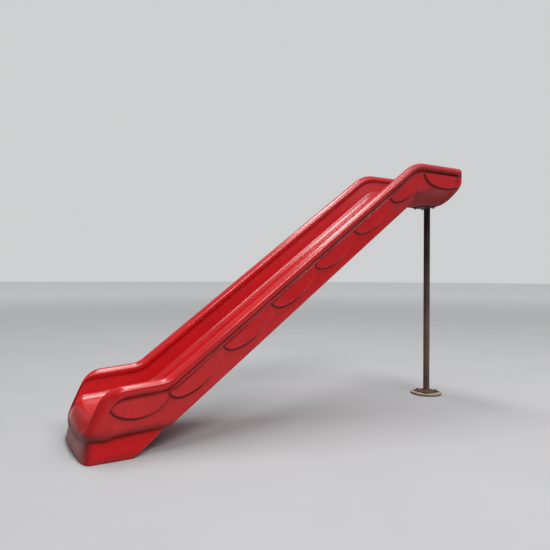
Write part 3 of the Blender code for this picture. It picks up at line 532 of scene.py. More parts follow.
def chute_halves():
    """Half sections of the long part, tucked in and rounded at the front, and of the flange.

    The flange goes straight from the last section to the end face, and becomes a band, FLANGE_PROUD
    wider, over its first 14 hundredths.
    """
    plain = 1 - smooth(CURL_STAGE - 0.4, FRONT_STAGE - 1.5, stage_at)
    edge_r = np.interp(stage_at, [0, EXIT_STAGE, EXIT_STAGE + 4], [EDGE_R, EDGE_R, SLOPE_EDGE_R])
    level = np.zeros(len(stage_at))
    halves = half_sections(bed_line, crest_line, edge_line, belly_line, plain, level, level, edge_r)
    reach = np.linalg.norm(edge_line - crest_line, axis=1)
    halves = round_front(tucked_in(halves, 1 - np.minimum(1.0, reach * 0.3 / edge_r)))
    last = [line[-1] for line in (bed_line, crest_line, edge_line, belly_line)]
    goal = [np.array([ENTRY_END_X, p[1]]) for p in last]
    goal[2][1] = SIDE_END_Z
    band = smooth(0.0, 0.14, FLANGE_SHARES)
    flange = [p + (g - p) * FLANGE_SHARES[:, None] for p, g in zip(last, goal)]
    tail = half_sections(*flange, 0 * band, band, FLANGE_PROUD * band, SLOPE_EDGE_R + 0 * band)
    return np.concatenate([halves, tail])


def whole_sections(halves):
    """Closes half sections with their mirror image."""
    other = halves[:, -2:0:-1] * np.array([1.0, -1.0, 1.0])
    return np.concatenate([halves, other], axis=1)


rings = whole_sections(chute_halves())
rings[..., 0] += SHIFT
print("skin grid:", rings.shape)
print("from", rings.min(axis=(0, 1)).round(3), "to", rings.max(axis=(0, 1)).round(3))

# %% [markdown]
# ## Rounding the end flange
#
# The flange that goes against the platform is moulded with a softened rim. The last section is
# drawn in, square to its own outline, along a quarter round. A Bevel modifier would do the same
# to one edge, but it would also change the order of the points, which the masks rely on.

# %% Rim of the flange


def drawn_in(ring, inset):
    """A closed section moved inwards by inset, square to its own outline in the y-z plane."""
    along = np.roll(ring, -1, axis=0) - np.roll(ring, 1, axis=0)
    along = along / np.linalg.norm(along, axis=1)[:, None]
    square = np.stack([np.zeros(len(ring)), along[:, 2], -along[:, 1]], axis=1)
    grown = np.ptp((ring + square * 0.001)[:, 1]) > np.ptp(ring[:, 1])
    return ring - square * (inset if grown else -inset)


RIM_R = 0.004
rim = []
for a in np.linspace(0, math.pi / 2, 6):
    rim_ring = drawn_in(rings[-1], RIM_R * (1 - math.cos(a)))
    rim_ring[:, 0] = ENTRY_END_X + SHIFT - RIM_R * (1 - math.sin(a))
    rim.append(rim_ring)
chute_rings = np.concatenate([rings[:-1], np.array(rim)])
print("rings of the chute:", len(chute_rings))

# %% [markdown]
# ## Nodes for the finishes
#
# Every finish is a Principled shader fed by noise. Adding nodes by hand in the Shader Editor
# shows each one, and a few short functions do the same in one line each: a cloud of noise, a
# range carried to another, a product, a sum, a mix of colours and a bump. Patterns read Object
# coordinates, because the pieces have no unwrapped surface.

# %% Helpers that add nodes


def new_finish(name):
    """A new material, its node tree and its Principled shader."""
    made = bpy.data.materials.new(name)
    made.use_nodes = True
    return made, made.node_tree, made.node_tree.nodes["Principled BSDF"]


def put(tree, kind, settings=None, **sockets):
    """Adds a node. sockets maps input names, or i and a number, to values or other outputs."""
    node = tree.nodes.new("ShaderNode" + kind)
    for key, value in (settings or {}).items():
        setattr(node, key, value)
    for key, value in sockets.items():
        target = node.inputs[int(key[1:])] if key[0] == "i" and key[1:].isdigit() else node.inputs[key]
        if isinstance(value, bpy.types.NodeSocket):
            tree.links.new(value, target)
        else:
            target.default_value = value
    return node


def object_place(tree, stretch=(1.0, 1.0, 1.0), turn=(0.0, 0.0, 0.0)):
    """Place on the object, stretched along its axes and then turned: turn (stretch place)."""
    node = put(tree, "Mapping", Vector=put(tree, "TexCoord").outputs["Object"])
    node.inputs["Scale"].default_value = stretch
    node.inputs["Rotation"].default_value = turn
    return node.outputs[0]


def stored(tree, name):
    """The number that keep_share stored on the points under this name."""
    return put(tree, "Attribute", {"attribute_name": name}).outputs["Fac"]


def finish_with(tree, shader, colour, roughness, normal):
    """Joins colour, roughness and surface relief to the shader."""
    for output, socket in ((colour, "Base Color"), (roughness, "Roughness"), (normal, "Normal")):
        tree.links.new(output, shader.inputs[socket])


print("a node's full name starts with ShaderNode:", bpy.types.ShaderNodeTexNoise.__name__)

# %% Helpers that mix numbers and colours


def cloud(tree, where, scale, detail=4.0, rough=0.55):
    """Noise between 0 and 1, mostly near 0.5, with scale blots to the metre."""
    node = put(tree, "TexNoise", Vector=where, Scale=scale, Detail=detail, Roughness=rough)
    return node.outputs["Fac"]


def ramp(tree, value, low, high, to_low=0.0, to_high=1.0):
    """A number carried from one range to another by an S-curve, held at the ends."""
    return put(tree, "MapRange", {"interpolation_type": 'SMOOTHSTEP'}, Value=value, i1=low, i2=high,
               i3=to_low, i4=to_high).outputs[0]


def times(tree, a, b):
    """The product a b."""
    return put(tree, "Math", {"operation": 'MULTIPLY'}, i0=a, i1=b).outputs[0]


def plus(tree, a, b):
    """The sum a + b."""
    return put(tree, "Math", {"operation": 'ADD'}, i0=a, i1=b).outputs[0]


def blend_colours(tree, share, first, second):
    """first (1 - share) + second share, for colours or outputs."""
    node = put(tree, "Mix", {"data_type": 'RGBA'}, i0=share)
    for key, value in ((6, first), (7, second)):
        if isinstance(value, bpy.types.NodeSocket):
            tree.links.new(value, node.inputs[key])
        else:
            node.inputs[key].default_value = (*value, 1.0)
    return node.outputs[2]


def relief(tree, height, distance, below=None):
    """Bump of height times distance in metres, on top of another relief if one is given."""
    node = put(tree, "Bump", Height=height, Distance=distance, Strength=1.0)
    if below is not None:
        tree.links.new(below, node.inputs["Normal"])
    return node.outputs[0]


print("mixing helpers:", [f.__name__ for f in (cloud, ramp, times, plus, blend_colours, relief)])

# %% [markdown]
# ## The red plastic
#
# Rotomoulded polyethylene is dyed through and glossy, but never quite flat: the skin has a fine
# orange peel and slow waves that make reflections wander. On this slide the upper end has
# weathered darker and duller and shoes have scratched the bed. Shade is painted into the colour:
# grooves, creases and undersides are darkened, with a little grime, and lose their gloss. An
# image could hold all that, but noise has no seams and is sharp at any distance. The stored masks
# say where, and noise breaks them up.

# %% Colours of the red plastic
RED, RED_BRIGHT = (0.50, 0.0075, 0.0100), (0.58, 0.0100, 0.0125)
RED_MOTTLE, RED_SPECK = (0.43, 0.0065, 0.0100), (0.62, 0.020, 0.022)
# RED_SHADE_AND_GRIME is the dark red of painted shade, with a little grime in it
RED_WEATHERED, RED_SHADE_AND_GRIME = (0.37, 0.0160, 0.0230), (0.075, 0.0050, 0.0045)
RED_SCRATCHED = (0.70, 0.10, 0.09)


def red_colour(tree, where, patches, mottle, shade_and_grime, scuff):
    """Blends from the widest pattern to the finest, then weather, painted shade with grime, and scratches
    on top.
    """
    speck = cloud(tree, where, 420.0, 3.0, 0.7)
    base = blend_colours(tree, ramp(tree, patches, 0.3, 0.7), RED, RED_BRIGHT)
    base = blend_colours(tree, ramp(tree, mottle, 0.42, 0.66, 0.0, 0.55), base, RED_MOTTLE)
    base = blend_colours(tree, ramp(tree, speck, 0.55, 0.75, 0.0, 0.25), base, RED_SPECK)
    sun = times(tree, stored(tree, "weathered"), ramp(tree, patches, 0.25, 0.75, 0.65, 1.0))
    base = blend_colours(tree, times(tree, sun, 0.85), base, RED_WEATHERED)
    # painted shade: where the mask is high the red turns dark, as if in shade
    base = blend_colours(tree, times(tree, shade_and_grime, 0.88), base, RED_SHADE_AND_GRIME)
    return blend_colours(tree, times(tree, scuff, 0.35), base, RED_SCRATCHED)


print("the red, as shares of linear light:", RED)

# %% Gloss and relief of the red plastic
WAVE_HEIGHT, PEEL_HEIGHT, CUT_HEIGHT = 0.00018, 0.000012, 0.00006


def red_roughness(tree, mottle, shade_and_grime, scuff):
    """About 0.2, plus 0.16 in a scratch, plus up to 0.7 as 0.45 shade_and_grime + 0.3 dulled nears 0.9."""
    rough = plus(tree, ramp(tree, mottle, 0.3, 0.7, 0.18, 0.23), times(tree, scuff, 0.16))
    matt = plus(tree, times(tree, shade_and_grime, 0.45), times(tree, stored(tree, "dulled"), 0.30))
    return plus(tree, rough, ramp(tree, matt, 0.0, 0.9, 0.0, 0.70))


def red_relief(tree, where, scuff):
    """Slow waves, a fine orange peel on them, and the scratches on top."""
    wave = relief(tree, cloud(tree, where, 7.0, 1.0, 0.4), WAVE_HEIGHT)
    peel = relief(tree, cloud(tree, where, 260.0, 2.0, 0.5), PEEL_HEIGHT, below=wave)
    return relief(tree, scuff, CUT_HEIGHT, below=peel)


relief_heights = [round(height * 1e6) for height in (WAVE_HEIGHT, PEEL_HEIGHT, CUT_HEIGHT)]
print("waves, peel and scratches in micrometres:", relief_heights)

# %% The red plastic


def red_plastic():
    """Scratches are noise squeezed hard across the slide; the painted shade, with a little grime, is its
    mask times a cloud.
    """
    made, tree, shader = new_finish("red_rotomoulded_plastic")
    where = object_place(tree)
    patches = cloud(tree, where, 3.5, 5.0)
    mottle = cloud(tree, where, 38.0, 5.0, 0.6)
    # a cloud breaks the painted shade up, the way grime would lie
    shade_breakup = ramp(tree, cloud(tree, where, 11.0, 3.0, 0.5), 0.25, 0.70, 0.72, 1.0)
    shade_and_grime = times(tree, stored(tree, "shade_and_grime"), shade_breakup)
    along = object_place(tree, (3.0, 260.0, 60.0), (0.0, SLOPE, 0.0))
    scratch = ramp(tree, cloud(tree, along, 1.0, 4.0, 0.7), 0.60, 0.68)
    scuff = times(tree, stored(tree, "scuffed"), scratch)
    finish_with(tree, shader, red_colour(tree, where, patches, mottle, shade_and_grime, scuff),
                red_roughness(tree, mottle, shade_and_grime, scuff), red_relief(tree, where, scuff))
    shader.inputs["Specular IOR Level"].default_value = 0.42
    return made


red = red_plastic()
print(red.name, len(red.node_tree.nodes), "nodes")

# %% [markdown]
# ## Masks of the chute
#
# Painting weights by hand would have to be done again after every change of shape. Here the
# masks are worked out from each point's place in the grid and from its height: the groove under
# the rail is a known stretch of the profile, the bed another, and the belly lies under the entry.

# %% How weather and wear change with height


def climbed(z):
    """Share of the way up the slide: (z - 0.2) / 1.4, held between 0 and 1."""
    return np.clip((z - 0.2) / 1.4, 0, 1)


def dulled_by_weather(climb):
    """0.8 times an S-curve over the last quarter of the climb."""
    return 0.8 * smooth(0.75, 1.0, climb)


print("the bed's lower corner is", climbed(LOWER_CORNER[1]).round(3), "of the way up")

# %% Groove, crease, bed and rail
count, around = chute_rings.shape[:2]
across = np.minimum(np.arange(around), around - np.arange(around))
climb = climbed(chute_rings[:, :1, 2])
at_top = smooth(0.80, 1.0, climb)
groove_middle = len(INNER) + len(roll_out) + len(valley) // 2
crease_middle = len(bed_flat) + len(fillet) + len(wall) + 2
# the painted shade in the groove fades as a bell curve, more slowly down the side than up the rail
past = across[None, :] - groove_middle + 2 * at_top
in_groove = np.exp(-(past / np.where(past > 0, 12.0, 8.0 + 4.0 * at_top)) ** 2)
# painted shade along the crease between the inner wall and the rail
in_crease = np.exp(-((across - crease_middle) / 3.0) ** 2)
on_bed = 1.0 - smooth(len(bed_flat) + 6, len(bed_flat) + 14, across)
on_top = 1.0 - smooth(len(INNER) + 8, len(INNER) + 18, across)
grooved = np.ones((count, 1))
grooved[:len(stage_at), 0] = smooth(CURL_STAGE, FRONT_STAGE - 1.5, stage_at)
print("masks on a grid of", count, "by", around)

# %% Lip, belly and apron
local_x = chute_rings[..., 0] - SHIFT
above_edge = chute_rings[..., 2] - undercut_z(local_x)
underneath = (across >= len(INNER) + len(OUTER))[None, :]
# painted shade under the lip over the foot, under the belly and on the front apron
under_lip = 0.95 * smooth(0.065, 0.006, above_edge) * smooth(0.50, 0.42, local_x)
belly = 0.60 * underneath * smooth(1.62, 1.46, chute_rings[..., 2]) * smooth(1.80, 2.30, local_x)
apron = 0.30 * smooth(0.14, 0.02, local_x)
# groove and crease get more painted shade higher up, and all of it is stored as one mask
shade_and_grime = (in_groove * grooved + 0.6 * in_crease[None, :]) * (0.55 + 0.45 * climb)
shade_and_grime = np.clip(shade_and_grime + under_lip + belly + apron, 0, 1)
print("share of the chute that is grimy:", float((shade_and_grime > 0.5).mean().round(3)))

# %% [markdown]
# ## The chute
#
# The real chute is one hollow moulding, and from outside only its skin shows. The rings go into
# one closed mesh, and the masks are stored on its points.

# %% The chute
chute_mesh = closed_stack("chute_skin", chute_rings)
keep_share(chute_mesh, "shade_and_grime", shade_and_grime)
keep_share(chute_mesh, "scuffed", np.broadcast_to(on_bed[None, :], (count, around)))
keep_share(chute_mesh, "weathered", climb ** 2 * (0.75 + 0.25 * on_top))
keep_share(chute_mesh, "dulled", dulled_by_weather(climb) + 1.6 * belly + 1.2 * in_groove * grooved)
chute = add_piece("chute_shell", chute_mesh, red, ("chute",))

# %% [markdown]
# ## Pockets for the inserts
#
# The end face that goes against the platform shows the mouths of four brass inserts and a vent
# plug. They are nodes of the engineering model; here the skin only gets the pockets they sit in,
# cut by round tools a hair wider than each. The Boolean's exact solver is slower than its fast
# one, and more reliable.

# %% Cutting tools
TOOL_POINTS = 40


def round_tool(name, radius, low, high, axis):
    """Closed round tool between two heights of an axis: radius (cos a, sin a) at both ends."""
    a = np.linspace(0, 2 * math.pi, TOOL_POINTS + 1)[:-1]
    ring = np.stack([radius * np.cos(a), radius * np.sin(a)], axis=1)
    rows = np.stack([np.insert(ring, axis[0], end, axis=1) + axis[1] for end in (low, high)])
    return closed_stack(name, rows)


def pocket_for(node, axis, clearance=0.0004, beyond=0.002):
    """Tool round a CAD node, along the given axis (0 is x, 2 is z), open on the outer side."""
    low, high = (np.array(corner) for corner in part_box(node))
    middle = (low + high) / 2
    middle[axis] = 0.0
    radius = (high - low)[1] / 2 + clearance
    ends = (low[2] - beyond, high[2] + clearance)
    if axis == 0:
        ends = (low[0] - clearance, high[0] + beyond)
    return round_tool(f"pocket_{node}", radius, *ends, (axis, middle))


def cut_pockets(piece, tools):
    """Subtracts the tools from the piece, one by one, and keeps the result as its mesh."""
    for k, tool in enumerate(tools):
        cutter = bpy.data.objects.new(f"cutter_{k}", tool)
        bpy.context.scene.collection.objects.link(cutter)
        cut = piece.modifiers.new("pocket", 'BOOLEAN')
        cut.operation, cut.solver, cut.object = 'DIFFERENCE', 'EXACT', cutter
        bpy.context.view_layer.update()
        shown = piece.evaluated_get(bpy.context.evaluated_depsgraph_get())
        solid = bpy.data.meshes.new_from_object(shown)
        piece.modifiers.remove(cut)
        uncut = piece.data
        piece.data = solid
        bpy.data.objects.remove(cutter)
        for spent in (tool, uncut):
            bpy.data.meshes.remove(spent)
    print(piece.name, "after cutting:", len(piece.data.vertices), "points")


print("points round a cutting tool:", TOOL_POINTS)

# %% Pockets in the end face
end_face_nodes = [f"entry_insert_{k}" for k in range(1, 5)] + ["vent_plug"]
cut_pockets(chute, [pocket_for(node, 0) for node in end_face_nodes])

# %% [markdown]
# ## The foot
#
# The chute stands on a foot of the same moulding: a block with a rounded front, sides that lean
# in towards the top, and a back that follows the slope's underside down to a round heel. It is
# a stack of outlines, one for each level, because every level has the same kind of outline. The
# levels start flat on the ground and tilt on the way up, so that the top meets the chute.

# %% Sizes of the foot
FOOT_HALF, FOOT_FRONT_X, FOOT_DEPTH, FOOT_POWER, FOOT_DRAFT = 0.302, -0.013, 0.072, 4.0, 0.030
FOOT_EDGE, FOOT_REAR_R, HEEL_R, BACK_BEND_R = 0.007, 0.030, 0.060, 0.02
# how far the foot reaches up into the chute, at its back and at its front
FOOT_RISE, ROOF_STEP = 0.030, 0.005
heel_x = LOWER_CORNER[0] - slope_z(LOWER_CORNER[0], -UNDER_DROP) / math.tan(SLOPE)
foot_back_z = slope_z(UNDERCUT_BACK_X, -UNDER_DROP)
foot_top = foot_back_z + FOOT_RISE
back_line = rounded_line([(0.1, 0.0), (heel_x, 0.0), (UNDERCUT_BACK_X, foot_back_z),
                          (UNDERCUT_BACK_X, foot_top)], [HEEL_R, BACK_BEND_R], (1, 24, 12, 6, 6))
print("the foot is", round(foot_top, 4), "high at its back")

# %% One outline of the foot


def foot_outline(inset, back_x, half, lean):
    """One outline of the foot, anticlockwise from the middle of its front, drawn in by inset.

    The front lies depth (1 - (1 - s^n)^(1/n)) behind its middle, with y = half s. A straight
    flank, a quarter round and a straight back follow, and the other half is the mirror image.
    """
    s = np.sin(np.linspace(0, 1, 61) * math.pi / 2)
    setback = FOOT_DEPTH * (1 - (1 - s ** FOOT_POWER) ** (1 / FOOT_POWER))
    face = np.stack([FOOT_FRONT_X + lean + inset + setback, (half - inset) * s], axis=1)
    rear_x = back_x - FOOT_REAR_R - inset
    flank = np.stack([np.linspace(face[-1, 0], rear_x, 40)[1:], np.full(39, half - inset)], axis=1)
    turn = arc_points((rear_x, half - inset - FOOT_REAR_R), FOOT_REAR_R, 90, 0, 10)[1:]
    heel_y = np.linspace(half - inset - FOOT_REAR_R, 0, 19)[1:]
    heel = np.stack([np.full(18, back_x - inset), heel_y], axis=1)
    line = np.concatenate([face, flank, turn, heel])
    return np.concatenate([line, line[-2:0:-1] * np.array([1.0, -1.0])])


print("points of a foot outline:", len(foot_outline(0.0, 0.4, FOOT_HALF, 0.0)))

# %% The levels of the foot
levels = np.concatenate([[0.0, 0.0008, 0.0022, 0.0044, FOOT_EDGE], np.linspace(0.012, foot_top, 40)])
foot_rings = []
for z in levels:
    # the lowest levels round the bottom edge off: inset = R - (R^2 - (R - z)^2)^(1/2)
    inset = FOOT_EDGE - math.sqrt(max(0.0, FOOT_EDGE ** 2 - (FOOT_EDGE - min(z, FOOT_EDGE)) ** 2))
    back_x = float(np.interp(z, back_line[1:, 1], back_line[1:, 0]))
    lean = FOOT_DRAFT * (z / foot_back_z) ** 0.8
    outline = foot_outline(inset, back_x, FOOT_HALF - lean, 0.7 * lean)
    # the topmost level climbs from front to back, and the levels below share in its tilt
    roof = (UNDERCUT_Z + ROOF_STEP + (outline[:, 0] - FOOT_FRONT_X) * (foot_top - UNDERCUT_Z - ROOF_STEP)
            / (UNDERCUT_BACK_X - FOOT_FRONT_X)) / foot_top
    tilt = roof + (1 - roof) * (1 - z / foot_top)
    height = z * np.where(z > FOOT_EDGE, tilt, 1.0)
    foot_rings.append(np.stack([outline[:, 0] + SHIFT, outline[:, 1], height], axis=1))
foot_rings = np.array(foot_rings)
print("levels of the foot:", len(foot_rings))

# %% The foot, with painted shade on its front and a darker band near the ground
foot_mesh = closed_stack("foot_skin", foot_rings)
# painted shade on the foot's front face
front_shade = 0.70 * smooth(0.070, 0.012, foot_rings[..., 0] - SHIFT)
# darker over the lowest 5 cm of the foot
darker_near_ground = 0.6 * smooth(0.05, 0.0, foot_rings[..., 2])
keep_share(foot_mesh, "shade_and_grime", np.maximum(front_shade, darker_near_ground))
foot = add_piece("chute_foot", foot_mesh, red, ("chute",))
cut_pockets(foot, [pocket_for(f"foot_insert_{k}", 2) for k in range(1, 5)])

# %% [markdown]
# ## The line that the scallops hang from
#
# A row of raised lobes hangs under each rail, pointed where they meet. Their upper edges all lie
# on one line, which runs parallel to the rail, bends included. To hang something from a line,
# it takes the distance along the line up to each point, and the direction square to it there.

# %% Places along a line


def run_along(line):
    """Distance along the line from its start to each point: the running sum of the steps."""
    return np.concatenate([[0.0], np.cumsum(np.linalg.norm(np.diff(line, axis=0), axis=1))])


def place_on(line, run, where):
    """Points of the line at the given distances, straight between its own points."""
    return np.stack([np.interp(where, run, line[:, 0]), np.interp(where, run, line[:, 1])], axis=-1)


def nearest(line, point):
    """Number of the line's point that lies closest to the given one."""
    return int(np.argmin(np.linalg.norm(line - point, axis=1)))


def laid_on(line, run, start, outlines):
    """Carries (run, drop) outlines onto the side: along the line from start, and square to it."""
    along = np.gradient(line, axis=0)
    along = along / np.linalg.norm(along, axis=1)[:, None]
    where = start + outlines[..., 0]
    square = np.stack([np.interp(where, run, along[:, 1]), -np.interp(where, run, along[:, 0])], axis=-1)
    return place_on(line, run, where) + square * outlines[..., 1:]


print("length of the bed's line:", run_along(bed_line)[-1].round(3))

# %% The hanging line
SCALLOP_PITCH, SCALLOP_START, SCALLOP_TOP = 0.382, -0.022, 0.069
low_turn, high_turn = corners_at(RAIL_HEIGHT - SCALLOP_TOP)
hang_start = low_turn - heading(EXIT) * (low_turn[0] - 0.112) / math.cos(EXIT)
hang_end = (ENTRY_END_X + 0.440, ENTRY_BED_Z + RAIL_HEIGHT - SCALLOP_TOP)
hang_bend_r = LOWER_BEND_R - RAIL_HEIGHT + SCALLOP_TOP
hang_line = rounded_line([hang_start, low_turn, high_turn, hang_end], [hang_bend_r, CREST_BEND_R],
                         (80, 60, 800, 90, 200))
hang_run = run_along(hang_line)
hang_run = hang_run - hang_run[nearest(hang_line, low_turn)]
print("hanging line from", hang_run[0].round(3), "to", hang_run[-1].round(3))

# %% [markdown]
# ## Outlines of a scallop
#
# A lobe is half an ellipse, leaning a little. Moving its outline inwards step by step, square to
# itself, gives contour lines, and a height for each contour turns them into a raised panel with
# a soft edge. A bevel would round the edge too, but only by one radius, and it would fold over
# itself in the sharp tips.

# %% Contours
INSETS = np.array([-0.017, -0.014, -0.011, -0.008, -0.006, -0.004, -0.002, 0.0,
                   0.002, 0.004, 0.006, 0.008, 0.010, 0.014, 0.019, 0.025])
UPPER_POINTS, LOWER_POINTS = 61, 121
LOBE_LENGTH, LOBE_DEPTH, LOBE_SKEW = 0.380, 0.084, 0.90


def panel_outlines(length, depth, skew, crown=(0.0, 1.0)):
    """Outlines (run, drop) of a lobe that hangs from a line, one for each inset.

    The lobe is the half ellipse run = length ((1 - cos t) / 2)^(1/skew), drop = depth sin t.
    Each inset moves it inwards along its normals and the upper edge down by the same amount,
    but past 2 mm outwards the upper edge moves only a tenth as far. crown = (height, run)
    rounds the upper edge off towards the start.
    """
    def top_edge(where):
        """Quarter round of the upper edge: height (1 - (1 - (1 - where / run)^2)^(1/2))."""
        return crown[0] * (1 - np.sqrt(1 - np.clip(1 - where / crown[1], 0, 1) ** 2))

    t = np.linspace(0, math.pi, 1201)
    run, drop = length * ((1 - np.cos(t)) / 2) ** (1 / skew), depth * np.sin(t)
    along = np.stack([np.gradient(run), np.gradient(drop)], axis=1)
    along = along / np.linalg.norm(along, axis=1)[:, None]
    at = np.linspace(0, 1, LOWER_POINTS)
    outlines = []
    for inset in INSETS:
        moved_run, moved_drop = run + along[:, 1] * inset, drop - along[:, 0] * inset
        held = inset if inset > -0.002 else -0.002 + 0.1 * (inset + 0.002)
        inside = moved_drop > held + top_edge(moved_run)
        moved = np.stack([moved_run[inside], moved_drop[inside]], axis=1)
        lower = place_on(moved, np.linspace(0, 1, len(moved)), at)[::-1]
        across_top = np.linspace(moved[0, 0], moved[-1, 0], UPPER_POINTS + 2)[1:-1]
        upper = np.stack([across_top, held + top_edge(across_top)], axis=1)
        outlines.append(np.concatenate([upper, lower]))
    return np.array(outlines)


lobe = panel_outlines(LOBE_LENGTH, LOBE_DEPTH, LOBE_SKEW)
print("contours and points of a lobe:", lobe.shape[:2])

# %% [markdown]
# ## A raised panel
#
# Each contour is lifted off the wall by an S-curve of its inset: crisp along the upper edge and
# soft along the lower one. On the real slide the lobes stand out at their lower end and sink
# into the wall towards their upper end, so the lift fades on the way. The outermost contours
# form a skirt that rises from inside the wall to a third of a millimetre off it, and carries
# the painted shade along the lobe's edges.

# %% Panel mesh
PANEL_PROUD, SKIRT, PANEL_ROOT = 0.0130, 0.0003, 0.004


def panel_masks(outlines, high, kept, upper, fade):
    """Painted shade, with a little grime, weather and dullness of a panel's contours.

    Below, the painted shade is a band between two S-curves of the inset along the lobe's lower
    edge, and it fades as the lift does. Above, it is a narrower band of 0.7, a painted shade line
    along the upper edge. Weather is 0.75 of the climb squared.
    """
    share = outlines[..., 0] / outlines[..., 0].max()
    # painted shade along the lobe's lower edge, and a thin painted shade line along its upper edge
    start = smooth(-0.017, -0.010 if fade == 0 else -0.005, INSETS)
    below = (start * smooth(0.007, -0.001, INSETS))[:, None]
    below = below * kept * (1 - fade * smooth(0.35, 0.75, share))
    above = 0.7 * (smooth(-0.008, -0.002, INSETS) * smooth(0.008, 0.001, INSETS))[:, None]
    edge_shade = np.where(upper, above, below)
    return edge_shade, high ** 2 * 0.75, dulled_by_weather(high) + edge_shade


def panel_mesh(name, outlines, flat, side, fade, skirt):
    """Raised panel, lifted off the wall by PANEL_PROUD times an S-curve of the inset.

    The lift is multiplied by 1 - fade S(share of the length), and the skirt adds its own height
    times 1.4 S(inset) - 0.4. A root ring closes the panel inside the wall.
    """
    soft = smooth(-0.008, 0.009, INSETS)[:, None]
    crisp = smooth(-0.002, 0.002, INSETS)[:, None]
    upper = (np.arange(flat.shape[1]) < UPPER_POINTS)[None, :]
    kept = 1 - fade * smooth(0.28, 0.72, outlines[..., 0] / outlines[..., 0].max())
    lift = PANEL_PROUD * np.where(upper, crisp, soft) * kept
    lift = lift + skirt * (1.4 * smooth(-0.0165, -0.0095, INSETS) - 0.4)[:, None]
    skin = np.stack([flat[..., 0] + SHIFT, side * (SIDE_Y + lift), flat[..., 1]], axis=-1)
    root = skin[:1].copy()
    root[..., 1] = side * (SIDE_Y - PANEL_ROOT)
    mesh = closed_stack(name, np.concatenate([root, skin]))
    edge_shade, weather, dull = panel_masks(outlines, climbed(skin[..., 2]), kept, upper, fade)
    keep_share(mesh, "shade_and_grime", np.concatenate([0 * edge_shade[:1], edge_shade]))
    keep_share(mesh, "weathered", np.concatenate([weather[:1], weather]))
    keep_share(mesh, "dulled", np.concatenate([dull[:1], dull]))
    return mesh


print("a panel stands out by", PANEL_PROUD, "m at most")

# %% [markdown]
# ## The row of scallops
#
# Six lobes of one size follow each other at a fixed pitch, a longer one runs into the flange,
# where it is cut off, and a rounded one, shaped like an eye, fills the bend at the exit. Both
# sides of the slide get the same row.

# %% Where the panels lie
LOBES, LOBE_FADE = 6, 0.86
LAST_LENGTH, LAST_DEPTH = 0.430, 0.096
EYE_DEPTH, EYE_SKEW, EYE_CROWN, EYE_FADE = 0.102, 0.98, (0.075, 0.075), 0.25
TIP_GAP, INTO_FLANGE = 0.001, 0.004

panels = []
for k in range(LOBES):
    start = SCALLOP_START + SCALLOP_PITCH * k + TIP_GAP
    panels.append((lobe, laid_on(hang_line, hang_run, start, lobe), LOBE_FADE))
last = panel_outlines(LAST_LENGTH, LAST_DEPTH, LOBE_SKEW)
flat = laid_on(hang_line, hang_run, SCALLOP_START + SCALLOP_PITCH * LOBES + TIP_GAP, last)
flat[..., 0] = np.minimum(flat[..., 0], ENTRY_END_X - FLANGE_LENGTH + INTO_FLANGE - INSETS[:, None])
panels.append((last, flat, 0.0))
eye_line = rounded_line([hang_start + (0.002, -0.002), low_turn, high_turn], [hang_bend_r], (80, 60, 400))
eye_run = run_along(eye_line)
cusp = place_on(hang_line, hang_run, np.array([SCALLOP_START - TIP_GAP]))[0]
eye = panel_outlines(eye_run[nearest(eye_line, cusp)], EYE_DEPTH, EYE_SKEW, EYE_CROWN)
panels.append((eye, laid_on(eye_line, eye_run, 0.0, eye), EYE_FADE))
print("panels on each side:", len(panels))

# %% The scallops
for side, word in ((-1, "near"), (1, "far")):
    for k, (outlines, flat, fade) in enumerate(panels):
        name = f"scallop_{word}_{k + 1}"
        # every second skirt lies a little higher, so that no two neighbours lie in one plane
        mesh = panel_mesh(name, outlines, flat, side, fade, SKIRT * (1 + 0.5 * (k % 2)))
        add_piece(name, mesh, red, ("chute",))

# %% [markdown]
# ## Paint on the steel
#
# Post and plates are powder coated in a dark brown. Outdoors the coat chalks, and the lower half
# of the post is dusted with pale splashes of soil; the same paler brown is painted light there,
# while the upper post is left dark as painted shade under the chute, so the colour changes with
# height. Close to the ground and in a few chips rust comes through. The mask is the height
# itself, broken up by noise, which needs nothing stored on the mesh.

# %% Brown paint
PAINT, PAINT_WORN = (0.0150, 0.0080, 0.0060), (0.028, 0.017, 0.013)
PAINT_DUSTY_LIT, PAINT_SPECK, RUST = (0.125, 0.082, 0.062), (0.050, 0.032, 0.024), (0.130, 0.045, 0.018)


def steel_paint():
    """Dust and painted light grow from 1.20 m down to 0.55 m, leaving the top in painted shade; rust grows
    from 0.16 m down to 0.02 m.
    """
    made, tree, shader = new_finish("brown_powder_coat_paint")
    where = object_place(tree)
    height = put(tree, "SeparateXYZ", Vector=where).outputs[2]
    patches = cloud(tree, where, 6.0, 5.0)
    blotch = cloud(tree, where, 34.0, 6.0, 0.65)
    grain = cloud(tree, where, 240.0, 4.0, 0.65)
    # paler brown low down: dust, and painted light below the chute's painted shade
    dust_and_light = times(tree, ramp(tree, height, 1.20, 0.55), ramp(tree, patches, 0.25, 0.55, 0.45, 1.0))
    rust = times(tree, ramp(tree, height, 0.16, 0.02), ramp(tree, blotch, 0.48, 0.62))
    rust = plus(tree, times(tree, rust, 0.8), ramp(tree, blotch, 0.70, 0.76, 0.0, 0.6))
    base = blend_colours(tree, ramp(tree, patches, 0.3, 0.7), PAINT, PAINT_WORN)
    base = blend_colours(tree, dust_and_light, base, PAINT_DUSTY_LIT)
    base = blend_colours(tree, ramp(tree, grain, 0.55, 0.75, 0.0, 0.4), base, PAINT_SPECK)
    base = blend_colours(tree, rust, base, RUST)
    rough = plus(tree, ramp(tree, patches, 0.3, 0.7, 0.36, 0.50), times(tree, rust, 0.35))
    bumps = relief(tree, grain, 0.00012, below=relief(tree, blotch, 0.0003))
    finish_with(tree, shader, base, rough, bumps)
    shader.inputs["Specular IOR Level"].default_value = 0.3
    return made


paint = steel_paint()
print(paint.name, len(paint.node_tree.nodes), "nodes")

